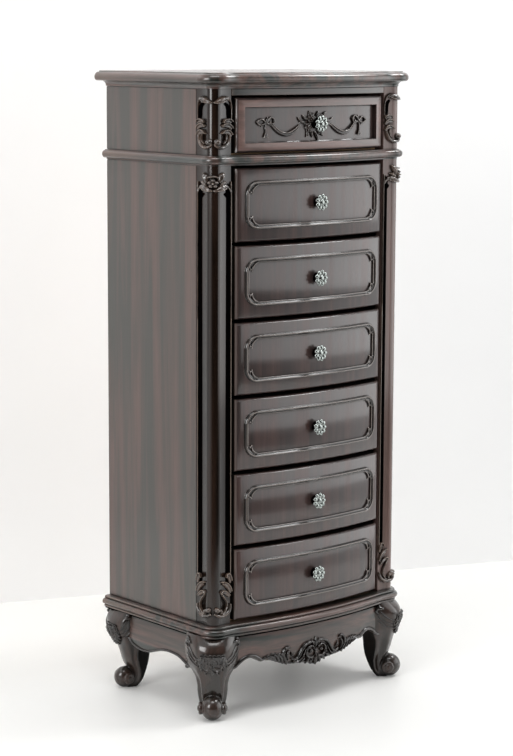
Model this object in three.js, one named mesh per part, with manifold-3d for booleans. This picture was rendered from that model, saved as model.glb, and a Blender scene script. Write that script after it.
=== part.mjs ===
// A seven-drawer semainier: a tall, narrow bow-fronted chest on cabriole legs.
// Millimetres, +Z up, +X to the chest's right, -Y to its front.
// Inside the group, y is zero on the front plane of the corner posts. The group is moved
// so that the origin lies on the floor under the middle of the chest's bounding box.

import * as THREE from 'three';
import Module from 'manifold-3d';
import { mergeVertices } from 'three/addons/utils/BufferGeometryUtils.js';

const wasm = await Module();
wasm.setup();

// Case
const CASE_WIDTH = 511;
const CASE_DEPTH = 352;
const POST_WIDTH = 47;
const BOW_RISE = 22.2;
const SIDE_THICKNESS = 18;
const BACK_THICKNESS = 6;
const BACK_INSET = 3;
const POST_DEPTH = 52.4;
const COLUMN_RADIUS = 17;
const COLUMN_PROUD = 1.6;
const FIT_GAP = 0.3;

// Heights from the floor up
const LEG_HEIGHT = 178.7;
const BASE_THICKNESS = 19.2;
const FRONT_HEIGHT = 151.7;
const FRONT_GAP = 4;
const LOWER_DRAWERS = 6;
const WAIST_THICKNESS = 20.1;
const UPPER_FRONT_HEIGHT = 110.3;
const TOP_RAIL_HEIGHT = 13.2;
const CORNICE_HEIGHT = 11;
const TOP_THICKNESS = 21;

// Moulded edges
const TOP_OVERHANG = 23;
const TOP_BACK_OVERHANG = 10;
const TOP_NOSE_HEIGHT = 8;
const TOP_NOSE_UNDER = 5;
const TOP_NOSE_UPPER = 10;
const TOP_STEP = 2;
const CORNICE_REACH = 13;
const WAIST_REACH = 12;
const WAIST_SHOULDER = 5;
const WAIST_LIP = 3;
const BASE_REACH = 16;
const BASE_NOSE_HEIGHT = 7;
const BASE_NOSE_UNDER = 5;
const BASE_BEAD_REACH = 8;
const BASE_BEAD_HEIGHT = 14;
const BASE_CORNER_RADIUS = 30;

// Drawer fronts
const FRONT_THICKNESS = 20;
const FRONT_PROUD = 3;
const FRONT_SIDE_GAP = 5.5;
const FRONT_CHAMFER = 4;
const PANEL_BORDER_SIDE = 19;
const PANEL_BORDER_END = 23;
const PANEL_RECESS = 9;
const PANEL_SLOPE = 1.5;
const CARTOUCHE_SIDE_MARGIN = 22;
const CARTOUCHE_END_MARGIN = 25;
const CARTOUCHE_RADIUS = 24;
const CARTOUCHE_WIDTH = 10;
const CARTOUCHE_HEIGHT = 6;

// Drawer boxes, dividers and guides
const TRAY_WALL = 12;
const TRAY_BOTTOM = 6;
const TRAY_SIDE_CLEARANCE = 8;
const TRAY_BACK_CLEARANCE = 26;
const TRAY_HEADROOM = 20;
const UPPER_TRAY_HEADROOM = 28;
const DIVIDER_THICKNESS = 16;
const DIVIDER_SETBACK = 2;
const GUIDE_WIDTH = 18;
const GUIDE_HEIGHT = 12;
const GUIDE_CLEARANCE = 1.5;
const GUIDE_SEAT = 2;

// Knobs
const KNOB_RADIUS = 17.5;
const KNOB_PROUD = 19;
const KNOB_NECK_RADIUS = 6.5;
const KNOB_FOOT_RADIUS = 9;
const KNOB_BUTTON_RADIUS = 5;
const KNOB_PETALS = 9;

// Legs
const EAR_LENGTH = 75;
const EAR_THICKNESS = 22;
const BACK_LEG_HALF_WIDTH = 42;
const ANKLE_HALF_WIDTH = 29.5;
const SCROLL_RADIUS = 24.5;
const SCROLL_HALF_WIDTH = 28.5;
const SCROLL_SETBACK = 6.5;
const SCROLL_LIFT = 1;

// Aprons
const APRON_PROUD = 4;
const APRON_THICKNESS = 20;
const APRON_DROP = 99;
const SIDE_APRON_DROP = 80;
const BACK_APRON_HEIGHT = 70;
const BACK_APRON_THICKNESS = 18;
const APRON_LAP = 15;

// Carved ornaments on the corner posts and the top drawer
const ORNAMENT_HALF_SPAN = 39;
const ORNAMENT_STRIP = 8;
const ORNAMENT_HEIGHT = 6;
const ORNAMENT_ROOT = 3;
const ORNAMENT_CORNER = 22;
const ORNAMENT_BALL = 5.5;
const UPPER_ORNAMENT_MARGIN = 16;
const UPPER_ORNAMENT_BOTTOM_MARGIN = 10;
const LOWER_ORNAMENT_BOTTOM_MARGIN = 22;
const LOWER_ORNAMENT_TOP_MARGIN = 42;
const FLOWER_HEIGHT = 14;
const FLOWER_HALF_SPAN = 20;
const SWAG_END_MARGIN = 54;
const SWAG_DROP = 21;
const SWAG_BAND = 6;
const SWAG_HEIGHT = 5;
const BOUQUET_RADIUS = 30;
const BOUQUET_CLEARANCE = 2;
const BOUQUET_PETALS = 8;

// Numbers of facets
const COLUMN_STEPS = 7;
const BOW_STEPS = 12;
const NOSE_STEPS = 3;
const WAIST_STEPS = 6;
const CORNER_STEPS = 4;
const SPAN_STEPS = 8;
const LEG_FRONT_STEPS = 8;
const SCROLL_SEGMENTS = 14;
const SWAG_STEPS = 8;
const BALL_SEGMENTS = 8;
const BALL_RINGS = 5;

// Levels worked out from the heights
const caseHalf = CASE_WIDTH / 2;
const openingHalf = caseHalf - POST_WIDTH;
const baseBottom = LEG_HEIGHT + FIT_GAP;
const baseTop = baseBottom + BASE_THICKNESS;
const drawerPitch = FRONT_HEIGHT + FRONT_GAP;
const waistBottom = baseTop + LOWER_DRAWERS * drawerPitch + FRONT_GAP;
const waistTop = waistBottom + WAIST_THICKNESS;
const railBottom = waistTop + UPPER_FRONT_HEIGHT + 2 * FRONT_GAP;
const corniceBottom = railBottom + TOP_RAIL_HEIGHT;
const topBottom = corniceBottom + CORNICE_HEIGHT;
const frontBack = FRONT_THICKNESS - FRONT_PROUD;
const innerHalf = caseHalf - SIDE_THICKNESS;
const backPanelFront = CASE_DEPTH - BACK_INSET - BACK_THICKNESS;
const dividerFront = frontBack + DIVIDER_SETBACK;

// Materials
const WOOD_COLOUR = 0x2b1d1b;
const INNER_COLOUR = 0x8a6a4a;
const METAL_COLOUR = 0x6f7570;

function wood() {
  return new THREE.MeshStandardMaterial({ color: WOOD_COLOUR, roughness: 0.35, metalness: 0 });
}

function innerWood() {
  return new THREE.MeshStandardMaterial({ color: INNER_COLOUR, roughness: 0.7, metalness: 0 });
}

function pewter() {
  return new THREE.MeshStandardMaterial({ color: METAL_COLOUR, roughness: 0.4, metalness: 0.9 });
}

const chest = new THREE.Group();

function addPiece(name, geometry, material, place = [0, 0, 0]) {
  const mesh = new THREE.Mesh(geometry, material);
  mesh.name = name;
  mesh.position.set(...place);
  chest.add(mesh);
  return mesh;
}

// A closed geometry from points and triangles, with its faces turned outwards.
function closedGeometry(points, triangles) {
  let volume = 0;
  const [a, b, c] = [new THREE.Vector3(), new THREE.Vector3(), new THREE.Vector3()];
  for (const [i, j, k] of triangles) {
    a.set(...points[i]);
    b.set(...points[j]);
    c.set(...points[k]);
    volume += a.dot(b.cross(c));
  }
  const outward = volume < 0 ? triangles.map(([i, j, k]) => [i, k, j]) : triangles;
  const geometry = new THREE.BufferGeometry();
  geometry.setAttribute('position', new THREE.Float32BufferAttribute(points.flat(), 3));
  geometry.setIndex(outward.flat());
  return geometry;
}

// Triangles between successive rings of equal length.
function ringTriangles(ringCount, ringSize, joinEnds) {
  const triangles = [];
  const last = joinEnds ? ringCount : ringCount - 1;
  for (let ring = 0; ring < last; ring += 1) {
    const here = ring * ringSize;
    const next = ((ring + 1) % ringCount) * ringSize;
    for (let i = 0; i < ringSize; i += 1) {
      const j = (i + 1) % ringSize;
      triangles.push([here + i, here + j, next + j]);
      triangles.push([here + i, next + j, next + i]);
    }
  }
  return triangles;
}

// A body skinned over level rings of one plan shape, closed by flat faces.
function stackedRings(rings) {
  const size = rings[0].length;
  const triangles = ringTriangles(rings.length, size, false);
  const capOf = (ring) => {
    const contour = ring.map(([x, y]) => new THREE.Vector2(x, y));
    return THREE.ShapeUtils.triangulateShape(contour, []);
  };
  const top = (rings.length - 1) * size;
  for (const [i, j, k] of capOf(rings[0])) {
    triangles.push([i, k, j]);
  }
  for (const [i, j, k] of capOf(rings[rings.length - 1])) {
    triangles.push([top + i, top + j, top + k]);
  }
  const sideTurn = THREE.ShapeUtils.area(rings[0].map(([x, y]) => new THREE.Vector2(x, y)));
  const faces = sideTurn < 0 ? turnSides(triangles, rings.length, size) : triangles;
  return closedGeometry(rings.flat(), faces);
}

// The side faces turned over, to agree with end faces cut from a clockwise plan.
function turnSides(triangles, ringCount, ringSize) {
  const sides = 2 * ringSize * (ringCount - 1);
  return triangles.map(([i, j, k], index) => (index < sides ? [i, k, j] : [i, j, k]));
}

// A body skinned over convex rings along a path, with fans on its ends unless it joins up.
function sweptRings(rings, joined) {
  const size = rings[0].length;
  const triangles = ringTriangles(rings.length, size, joined);
  if (!joined) {
    const end = (rings.length - 1) * size;
    for (let i = 1; i < size - 1; i += 1) {
      triangles.push([0, i + 1, i]);
      triangles.push([end, end + i, end + i + 1]);
    }
  }
  return closedGeometry(rings.flat(), triangles);
}

function solidOf(geometry) {
  const bare = geometry.clone();
  bare.deleteAttribute('normal');
  bare.deleteAttribute('uv');
  const merged = mergeVertices(bare);
  const mesh = new wasm.Mesh({
    numProp: 3,
    vertProperties: merged.getAttribute('position').array,
    triVerts: new Uint32Array(merged.getIndex().array),
  });
  return new wasm.Manifold(mesh);
}

function geometryOf(solid) {
  const mesh = solid.getMesh();
  const geometry = new THREE.BufferGeometry();
  geometry.setAttribute('position', new THREE.BufferAttribute(mesh.vertProperties, 3));
  geometry.setIndex(new THREE.BufferAttribute(mesh.triVerts, 1));
  return geometry;
}

// A board between two corners.
function board(low, high) {
  const size = high.map((value, axis) => value - low[axis]);
  const middle = high.map((value, axis) => (value + low[axis]) / 2);
  const geometry = new THREE.BoxGeometry(...size);
  geometry.translate(...middle);
  return geometry;
}

// A prism on a plan outline, between two levels.
function prism(outline, low, high) {
  const shape = new THREE.Shape(outline.map(([x, y]) => new THREE.Vector2(x, y)));
  const geometry = new THREE.ExtrudeGeometry(shape, { depth: high - low, bevelEnabled: false });
  geometry.translate(0, 0, low);
  return geometry;
}

// How far the bowed front stands before its ends.
function bowAt(x) {
  const share = Math.min(Math.abs(x) / openingHalf, 1);
  return BOW_RISE * (1 - share * share);
}

// The corner of the plan from the side to the front, offset outwards. A column corner is a
// round that stands a little past both faces and meets each in a shallow cusp.
const columnInset = COLUMN_RADIUS - COLUMN_PROUD;

function columnCorner(offset) {
  const radius = COLUMN_RADIUS + offset;
  const cusp = Math.acos((columnInset + offset) / radius);
  const points = [];
  for (let step = 0; step <= COLUMN_STEPS; step += 1) {
    const angle = -cusp + (Math.PI / 2 + 2 * cusp) * (step / COLUMN_STEPS);
    const x = caseHalf - columnInset + radius * Math.cos(angle);
    const y = columnInset - radius * Math.sin(angle);
    points.push([x, y]);
  }
  return points;
}

function roundCorner(offset) {
  const radius = BASE_CORNER_RADIUS + offset;
  const points = [];
  for (let step = 0; step <= COLUMN_STEPS; step += 1) {
    const angle = (Math.PI / 2) * (step / COLUMN_STEPS);
    const x = caseHalf - BASE_CORNER_RADIUS + radius * Math.cos(angle);
    const y = BASE_CORNER_RADIUS - radius * Math.sin(angle);
    points.push([x, y]);
  }
  return points;
}

// The plan of a full board, offset outwards on its sides and its bowed front.
function planOutline(corner, offset, backReach) {
  const rightSide = [[caseHalf + offset, CASE_DEPTH + backReach], ...corner(offset)];
  const bow = [];
  for (let step = 0; step <= BOW_STEPS; step += 1) {
    const x = openingHalf * (1 - (2 * step) / BOW_STEPS);
    bow.push([x, -offset - bowAt(x)]);
  }
  const leftSide = rightSide.map(([x, y]) => [-x, y]).reverse();
  return [...rightSide, ...bow, ...leftSide];
}

function planRing(corner, offset, z, backReach) {
  return planOutline(corner, offset, backReach).map(([x, y]) => [x, y, z]);
}

// Quarter of an ellipse as pairs of reach and height, from its first to its last angle.
function quarter(reach, height, from, to, steps) {
  const pairs = [];
  for (let step = 0; step <= steps; step += 1) {
    const angle = from + (to - from) * (step / steps);
    pairs.push([reach * Math.cos(angle), height * Math.sin(angle)]);
  }
  return pairs;
}

// Top board with a thumbnail edge: a round nose under a small step.
function topBoard() {
  const upperHeight = TOP_THICKNESS - TOP_NOSE_HEIGHT - TOP_STEP;
  const underBase = TOP_OVERHANG - TOP_NOSE_UNDER;
  const upperBase = TOP_OVERHANG - TOP_NOSE_UPPER;
  const under = quarter(TOP_NOSE_UNDER, TOP_NOSE_HEIGHT, -Math.PI / 2, 0, NOSE_STEPS);
  const upper = quarter(TOP_NOSE_UPPER, upperHeight, 0, Math.PI / 2, NOSE_STEPS);
  const profile = [];
  for (const [reach, rise] of under) {
    profile.push([underBase + reach, TOP_NOSE_HEIGHT + rise]);
  }
  for (const [reach, rise] of upper.slice(1)) {
    profile.push([upperBase + reach, TOP_NOSE_HEIGHT + rise]);
  }
  profile.push([upperBase - TOP_STEP, TOP_THICKNESS]);
  const ringAt = ([reach, height]) => {
    const z = topBottom + FIT_GAP + height * ((TOP_THICKNESS - FIT_GAP) / TOP_THICKNESS);
    return planRing(columnCorner, reach, z, TOP_BACK_OVERHANG);
  };
  return stackedRings(profile.map(ringAt));
}

addPiece('top_board', topBoard(), wood());

// Cornice board with a hollow edge under the top board.
function corniceBoard() {
  const rings = [];
  for (let step = 0; step <= CORNER_STEPS; step += 1) {
    const angle = (Math.PI / 2) * (step / CORNER_STEPS);
    const reach = CORNICE_REACH * (1 - Math.cos(angle));
    const z = corniceBottom + CORNICE_HEIGHT * Math.sin(angle);
    rings.push(planRing(columnCorner, reach, z, 0));
  }
  return stackedRings(rings);
}

addPiece('cornice_board', corniceBoard(), wood());

// Guide strips that a drawer box runs between, standing on the board at the given level.
const trayHalf = openingHalf - TRAY_SIDE_CLEARANCE;
const guideInner = trayHalf + GUIDE_CLEARANCE;

function withGuides(geometry, level) {
  let solid = solidOf(geometry);
  for (const side of [-1, 1]) {
    const edges = [side * guideInner, side * (guideInner + GUIDE_WIDTH)].sort((a, b) => a - b);
    const low = [edges[0], POST_DEPTH + FIT_GAP, level - GUIDE_SEAT];
    const high = [edges[1], backPanelFront - FIT_GAP, level + GUIDE_HEIGHT];
    solid = solid.add(solidOf(board(low, high)));
  }
  return solid;
}

// The back panel runs past the waist board in a notch.
function backNotch(low, high) {
  const from = [-innerHalf, backPanelFront - FIT_GAP, low];
  return solidOf(board(from, [innerHalf, CASE_DEPTH + TOP_BACK_OVERHANG, high]));
}

// Waist board between the two stages of the case, with a half-round nose all round.
function waistBoard() {
  const middle = (WAIST_LIP + WAIST_THICKNESS) / 2;
  const half = (WAIST_THICKNESS - WAIST_LIP) / 2;
  const profile = [[0, 0], [0, WAIST_LIP]];
  for (let step = 0; step <= WAIST_STEPS; step += 1) {
    const angle = -Math.PI / 2 + Math.PI * (step / WAIST_STEPS);
    const reach = WAIST_SHOULDER + (WAIST_REACH - WAIST_SHOULDER) * Math.cos(angle);
    profile.push([reach, middle + half * Math.sin(angle)]);
  }
  const ringAt = ([reach, height]) => planRing(columnCorner, reach, waistBottom + height, 0);
  const full = stackedRings(profile.map(ringAt));
  return geometryOf(withGuides(full, waistTop).subtract(backNotch(baseTop, topBottom)));
}

addPiece('waist_board', waistBoard(), wood());

// Base board with a torus nose under a small bead, carried by the legs and aprons.
function baseBoard() {
  const upperHeight = BASE_BEAD_HEIGHT - BASE_NOSE_HEIGHT;
  const upperReach = BASE_REACH - BASE_BEAD_REACH;
  const under = quarter(BASE_NOSE_UNDER, BASE_NOSE_HEIGHT, -Math.PI / 2, 0, NOSE_STEPS);
  const upper = quarter(upperReach, upperHeight, 0, Math.PI / 2, NOSE_STEPS);
  const profile = [];
  for (const [reach, rise] of under) {
    profile.push([BASE_REACH - BASE_NOSE_UNDER + reach, BASE_NOSE_HEIGHT + rise]);
  }
  for (const [reach, rise] of upper.slice(1)) {
    profile.push([BASE_BEAD_REACH + reach, BASE_NOSE_HEIGHT + rise]);
  }
  const beadTop = (BASE_BEAD_HEIGHT + BASE_THICKNESS) / 2;
  profile.push([BASE_BEAD_REACH, beadTop]);
  profile.push([BASE_BEAD_REACH / 2, BASE_THICKNESS]);
  const ringAt = ([reach, height]) => planRing(roundCorner, reach, baseBottom + height, 0);
  return geometryOf(withGuides(stackedRings(profile.map(ringAt)), baseTop));
}

addPiece('base_board', baseBoard(), wood());

// The two stages of the case: side panels and corner posts under each moulded board.
const stages = [
  { name: 'lower', low: baseTop + FIT_GAP, high: waistBottom - FIT_GAP },
  { name: 'upper', low: waistTop + FIT_GAP, high: corniceBottom - FIT_GAP },
];
const hands = [
  { name: 'left', side: -1 },
  { name: 'right', side: 1 },
];

function sidePanel(side, low, high) {
  const edges = [side * innerHalf, side * caseHalf].sort((a, b) => a - b);
  return board([edges[0], POST_DEPTH + FIT_GAP, low], [edges[1], CASE_DEPTH, high]);
}

function postOutline(side, offset) {
  const outer = columnCorner(offset);
  const points = [
    [caseHalf + offset, POST_DEPTH],
    ...outer,
    [openingHalf, -offset],
    [openingHalf, POST_DEPTH],
  ];
  return points.map(([x, y]) => [side * x, y]);
}

for (const { name, low, high } of stages) {
  for (const hand of hands) {
    addPiece(`${name}_side_${hand.name}`, sidePanel(hand.side, low, high), wood());
    const post = prism(postOutline(hand.side, 0), low, high);
    addPiece(`${name}_post_${hand.name}`, post, wood());
  }
}

// Back panel, let in between the side panels from the base board to the cornice.
addPiece(
  'back_panel',
  board(
    [-innerHalf + FIT_GAP, backPanelFront, baseTop + FIT_GAP],
    [innerHalf - FIT_GAP, CASE_DEPTH - BACK_INSET, corniceBottom - FIT_GAP],
  ),
  innerWood(),
);

// A panel with a bowed face, built over rectangular rings. Each ring has an inset from the
// ends, an inset from top and bottom, and how far it stands before the posts' plane. The
// flat back lies at frontBack.
function bowedPanel(width, height, rings) {
  const loops = [];
  const addLoop = (insetX, insetZ, depthAt) => {
    const loop = [];
    for (const [z, turn] of [[insetZ, 1], [height - insetZ, -1]]) {
      for (let step = 0; step <= BOW_STEPS; step += 1) {
        const x = turn * (width / 2 - insetX) * ((2 * step) / BOW_STEPS - 1);
        loop.push([x, depthAt(x), z]);
      }
    }
    loops.push(loop);
  };
  addLoop(0, 0, () => frontBack);
  for (const [insetX, insetZ, proud] of rings) {
    addLoop(insetX, insetZ, (x) => -proud - bowAt(x));
  }
  const size = loops[0].length;
  const triangles = ringTriangles(loops.length, size, false);
  const face = (loops.length - 1) * size;
  for (let step = 0; step < BOW_STEPS; step += 1) {
    const above = size - 1 - step;
    triangles.push([step, above, step + 1]);
    triangles.push([above, above - 1, step + 1]);
    triangles.push([face + step, face + step + 1, face + above]);
    triangles.push([face + above, face + step + 1, face + above - 1]);
  }
  return closedGeometry(loops.flat(), triangles);
}

// Top rail between the upper posts.
addPiece(
  'top_rail',
  bowedPanel(2 * (openingHalf - FIT_GAP), TOP_RAIL_HEIGHT - FIT_GAP, [[0, 0, 0]]),
  wood(),
  [0, 0, railBottom],
);

// Dividers between the lower drawers, notched round the posts, each with its two guides.
function divider(level) {
  const right = [
    [innerHalf - FIT_GAP, backPanelFront - FIT_GAP],
    [innerHalf - FIT_GAP, POST_DEPTH + FIT_GAP],
    [openingHalf - FIT_GAP, POST_DEPTH + FIT_GAP],
    [openingHalf - FIT_GAP, dividerFront],
  ];
  const left = right.map(([x, y]) => [-x, y]).reverse();
  const plate = prism([...right, ...left], level - DIVIDER_THICKNESS, level);
  return geometryOf(withGuides(plate, level));
}

const firstDividerTop = baseTop + FRONT_GAP / 2 + drawerPitch + DIVIDER_THICKNESS / 2;
const dividerTops = [];
for (let index = 0; index < LOWER_DRAWERS - 1; index += 1) {
  dividerTops.push(firstDividerTop + index * drawerPitch);
}
dividerTops.forEach((level, index) => {
  const above = LOWER_DRAWERS - index;
  addPiece(`divider_${above}`, divider(level), innerWood());
});

// Drawers, numbered from the top. Each has a front, a box and a knob.
const frontWidth = 2 * (openingHalf - FRONT_SIDE_GAP);
const trayHeight = drawerPitch - DIVIDER_THICKNESS - TRAY_HEADROOM;
const upperTrayHeight = railBottom - waistTop - UPPER_TRAY_HEADROOM;
const trayBack = backPanelFront - TRAY_BACK_CLEARANCE;

const drawers = [
  { name: 'drawer_1', bottom: waistTop + FRONT_GAP, seat: waistTop, height: upperTrayHeight },
];
for (let index = 0; index < LOWER_DRAWERS; index += 1) {
  const fromBottom = LOWER_DRAWERS - 1 - index;
  const seat = fromBottom === 0 ? baseTop : dividerTops[fromBottom - 1];
  const bottom = baseTop + FRONT_GAP + fromBottom * drawerPitch;
  drawers.push({ name: `drawer_${index + 2}`, bottom, seat, height: trayHeight });
}

function drawerBox(seat, height) {
  const front = frontBack + FIT_GAP;
  const outer = board([-trayHalf, front, seat + FIT_GAP], [trayHalf, trayBack, seat + height]);
  const inner = board(
    [-trayHalf + TRAY_WALL, front + TRAY_WALL, seat + FIT_GAP + TRAY_BOTTOM],
    [trayHalf - TRAY_WALL, trayBack - TRAY_WALL, seat + height + TRAY_WALL],
  );
  return geometryOf(solidOf(outer).subtract(solidOf(inner)));
}

const plainFace = [
  [0, 0, FRONT_PROUD - FRONT_CHAMFER],
  [FRONT_CHAMFER, FRONT_CHAMFER, FRONT_PROUD],
];
const framedFace = [
  [0, 0, FRONT_PROUD - FRONT_CHAMFER],
  [FRONT_CHAMFER, FRONT_CHAMFER, FRONT_PROUD],
  [PANEL_BORDER_END, PANEL_BORDER_SIDE, FRONT_PROUD],
  [PANEL_BORDER_END + PANEL_SLOPE, PANEL_BORDER_SIDE + PANEL_SLOPE, FRONT_PROUD - PANEL_RECESS],
];

// A knob turned about its stem, with its rim drawn in between the petals.
function knob() {
  const neckShare = 0.5;
  const rimShare = 0.72;
  const outline = [
    [0, 0, 0],
    [KNOB_FOOT_RADIUS, 0, 0],
    [KNOB_NECK_RADIUS, KNOB_PROUD * neckShare / 2, 0],
    [KNOB_NECK_RADIUS, KNOB_PROUD * neckShare, 0],
    [KNOB_RADIUS, KNOB_PROUD * rimShare, 1],
    [(KNOB_RADIUS + KNOB_BUTTON_RADIUS) / 2, KNOB_PROUD, 1],
    [KNOB_BUTTON_RADIUS, KNOB_PROUD * rimShare, 0],
    [0, KNOB_PROUD, 0],
  ];
  const notchShare = 0.12;
  const segments = 2 * KNOB_PETALS;
  const turned = new THREE.LatheGeometry(
    outline.map(([radius, along]) => new THREE.Vector2(radius, along)),
    segments,
  );
  const position = turned.getAttribute('position');
  for (let index = 0; index < position.count; index += 1) {
    const segment = Math.floor(index / outline.length) % segments;
    const petal = outline[index % outline.length][2];
    const scale = segment % 2 === 1 ? 1 - notchShare * petal : 1;
    position.setXYZ(
      index,
      position.getX(index) * scale,
      position.getY(index),
      position.getZ(index) * scale,
    );
  }
  return turned;
}

// A strip of applied carving that lies on a surface. place(a, b, h) gives the point at the
// height h over the place (a, b); each station holds a, b, half the width and the height.
function strip(place, path, joined, root) {
  const crestShare = 0.45;
  const count = path.length;
  const rings = path.map(([a, b, halfWidth, height], index) => {
    const before = path[joined ? (index + count - 1) % count : Math.max(index - 1, 0)];
    const after = path[joined ? (index + 1) % count : Math.min(index + 1, count - 1)];
    const along = new THREE.Vector2(after[0] - before[0], after[1] - before[1]).normalize();
    const corners = [[-1, 0], [-crestShare, 1], [crestShare, 1], [1, 0]];
    return corners.map(([across, up]) => {
      const shift = across * halfWidth;
      const lift = up === 1 ? height : root;
      return place(a - along.y * shift, b + along.x * shift, lift);
    });
  });
  return sweptRings(rings, joined);
}

// A rounded rectangle as a closed path, from its half sides and corner radius.
function roundedRectangle(halfA, halfB, radius, halfWidth, height) {
  const path = [];
  const corners = [[1, 1], [-1, 1], [-1, -1], [1, -1]];
  corners.forEach(([signA, signB], turn) => {
    for (let step = 0; step <= CORNER_STEPS; step += 1) {
      const angle = (Math.PI / 2) * (turn + step / CORNER_STEPS);
      const a = signA * (halfA - radius) + radius * Math.cos(angle);
      const b = signB * (halfB - radius) + radius * Math.sin(angle);
      path.push([a, b, halfWidth, height]);
    }
    if (turn % 2 === 0) {
      for (let step = 1; step < SPAN_STEPS; step += 1) {
        const a = signA * (halfA - radius) * (1 - (2 * step) / SPAN_STEPS);
        path.push([a, signB * halfB, halfWidth, height]);
      }
    }
  });
  return path;
}

function cartouche(middle) {
  const halfA = frontWidth / 2 - CARTOUCHE_SIDE_MARGIN - CARTOUCHE_WIDTH / 2;
  const halfB = FRONT_HEIGHT / 2 - CARTOUCHE_END_MARGIN - CARTOUCHE_WIDTH / 2;
  const halfWidth = CARTOUCHE_WIDTH / 2;
  const path = roundedRectangle(halfA, halfB, CARTOUCHE_RADIUS, halfWidth, CARTOUCHE_HEIGHT);
  const place = (a, b, h) => [a, -FRONT_PROUD - bowAt(a) - h, middle + b];
  return strip(place, path, true, FIT_GAP);
}

for (const { name, bottom, seat, height } of drawers) {
  const first = name === 'drawer_1';
  const frontHeight = first ? UPPER_FRONT_HEIGHT : FRONT_HEIGHT;
  const front = bowedPanel(frontWidth, frontHeight, first ? framedFace : plainFace);
  const middle = bottom + frontHeight / 2;
  addPiece(`${name}_front`, front, wood(), [0, 0, bottom]);
  addPiece(`${name}_box`, drawerBox(seat, height), innerWood());
  const faceProud = first ? FRONT_PROUD - PANEL_RECESS : FRONT_PROUD;
  const knobMesh = addPiece(`${name}_knob`, knob(), pewter());
  knobMesh.rotation.x = Math.PI;
  knobMesh.position.set(0, -faceProud - BOW_RISE - FIT_GAP, middle);
  if (!first) {
    addPiece(`${name}_moulding`, cartouche(middle), wood());
  }
}

// Flower garland on the recessed panel of the top drawer: a lobed ring round the knob and a
// swag to a bow with a tassel at each end.
function garland() {
  const { bottom } = drawers[0];
  const middle = bottom + UPPER_FRONT_HEIGHT / 2;
  const faceProud = FRONT_PROUD - PANEL_RECESS;
  const place = (a, b, h) => [a, -faceProud - bowAt(a) - h, middle + b];
  const half = SWAG_BAND / 2;
  const innerRadius = KNOB_FOOT_RADIUS + BOUQUET_CLEARANCE;
  const lobeShare = 0.12;
  const ring = [];
  const lobes = 2 * BOUQUET_PETALS;
  for (let step = 0; step < lobes; step += 1) {
    const angle = (Math.PI * 2 * step) / lobes;
    const outer = BOUQUET_RADIUS * (step % 2 === 0 ? 1 : 1 - lobeShare);
    const radius = (outer + innerRadius) / 2;
    const halfWidth = (outer - innerRadius) / 2;
    ring.push([radius * Math.cos(angle), radius * Math.sin(angle), halfWidth, SWAG_HEIGHT]);
  }
  let solid = solidOf(strip(place, ring, true, FIT_GAP));
  const swagStart = BOUQUET_RADIUS - SWAG_BAND;
  const swagEnd = frontWidth / 2 - PANEL_BORDER_END - SWAG_END_MARGIN;
  for (const side of [-1, 1]) {
    const swag = [];
    for (let step = 0; step <= SWAG_STEPS; step += 1) {
      const share = step / SWAG_STEPS;
      const a = side * (swagStart + (swagEnd - swagStart) * share);
      const b = -SWAG_DROP * 4 * share * (1 - share);
      const swell = 1 + 4 * share * (1 - share);
      swag.push([a, b, (half * swell) / 2, SWAG_HEIGHT]);
    }
    const end = side * swagEnd;
    const bow = [
      [end - SWAG_BAND * 2, SWAG_BAND / 2, half, SWAG_HEIGHT],
      [end, 0, half / 2, SWAG_HEIGHT],
      [end + SWAG_BAND * 2, SWAG_BAND / 2, half, SWAG_HEIGHT],
    ];
    const tassel = [
      [end, 0, half / 2, SWAG_HEIGHT],
      [end, -SWAG_DROP / 2, half / 2, SWAG_HEIGHT],
      [end, -SWAG_DROP, half, SWAG_HEIGHT],
    ];
    for (const path of [swag, bow, tassel]) {
      solid = solid.add(solidOf(strip(place, path, false, FIT_GAP)));
    }
  }
  return geometryOf(solid);
}

addPiece('drawer_1_garland', garland(), wood());

// Places on a corner post, unrolled: s runs from the middle of the column, positive to the
// front and negative to the side.
const columnCusp = Math.acos(columnInset / COLUMN_RADIUS);
const columnHalfArc = COLUMN_RADIUS * (Math.PI / 4 + columnCusp);
const columnChord = COLUMN_RADIUS * Math.sin(columnCusp);

function onPost(side) {
  return (s, z, h) => {
    const beyond = Math.abs(s) - columnHalfArc;
    const centre = [caseHalf - columnInset, columnInset];
    if (beyond <= 0) {
      const angle = Math.PI / 4 + s / COLUMN_RADIUS;
      const radius = COLUMN_RADIUS + h;
      const x = centre[0] + radius * Math.cos(angle);
      return [side * x, centre[1] - radius * Math.sin(angle), z];
    }
    const flat = columnChord + beyond;
    if (s > 0) {
      return [side * (centre[0] - flat), -h, z];
    }
    return [side * (caseHalf + h), centre[1] + flat, z];
  };
}

function ball(place, s, z, radius, stretch) {
  const geometry = new THREE.SphereGeometry(radius, BALL_SEGMENTS, BALL_RINGS);
  geometry.scale(stretch, stretch, 1);
  geometry.translate(...place(s, z, 0));
  return solidOf(geometry);
}

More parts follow.
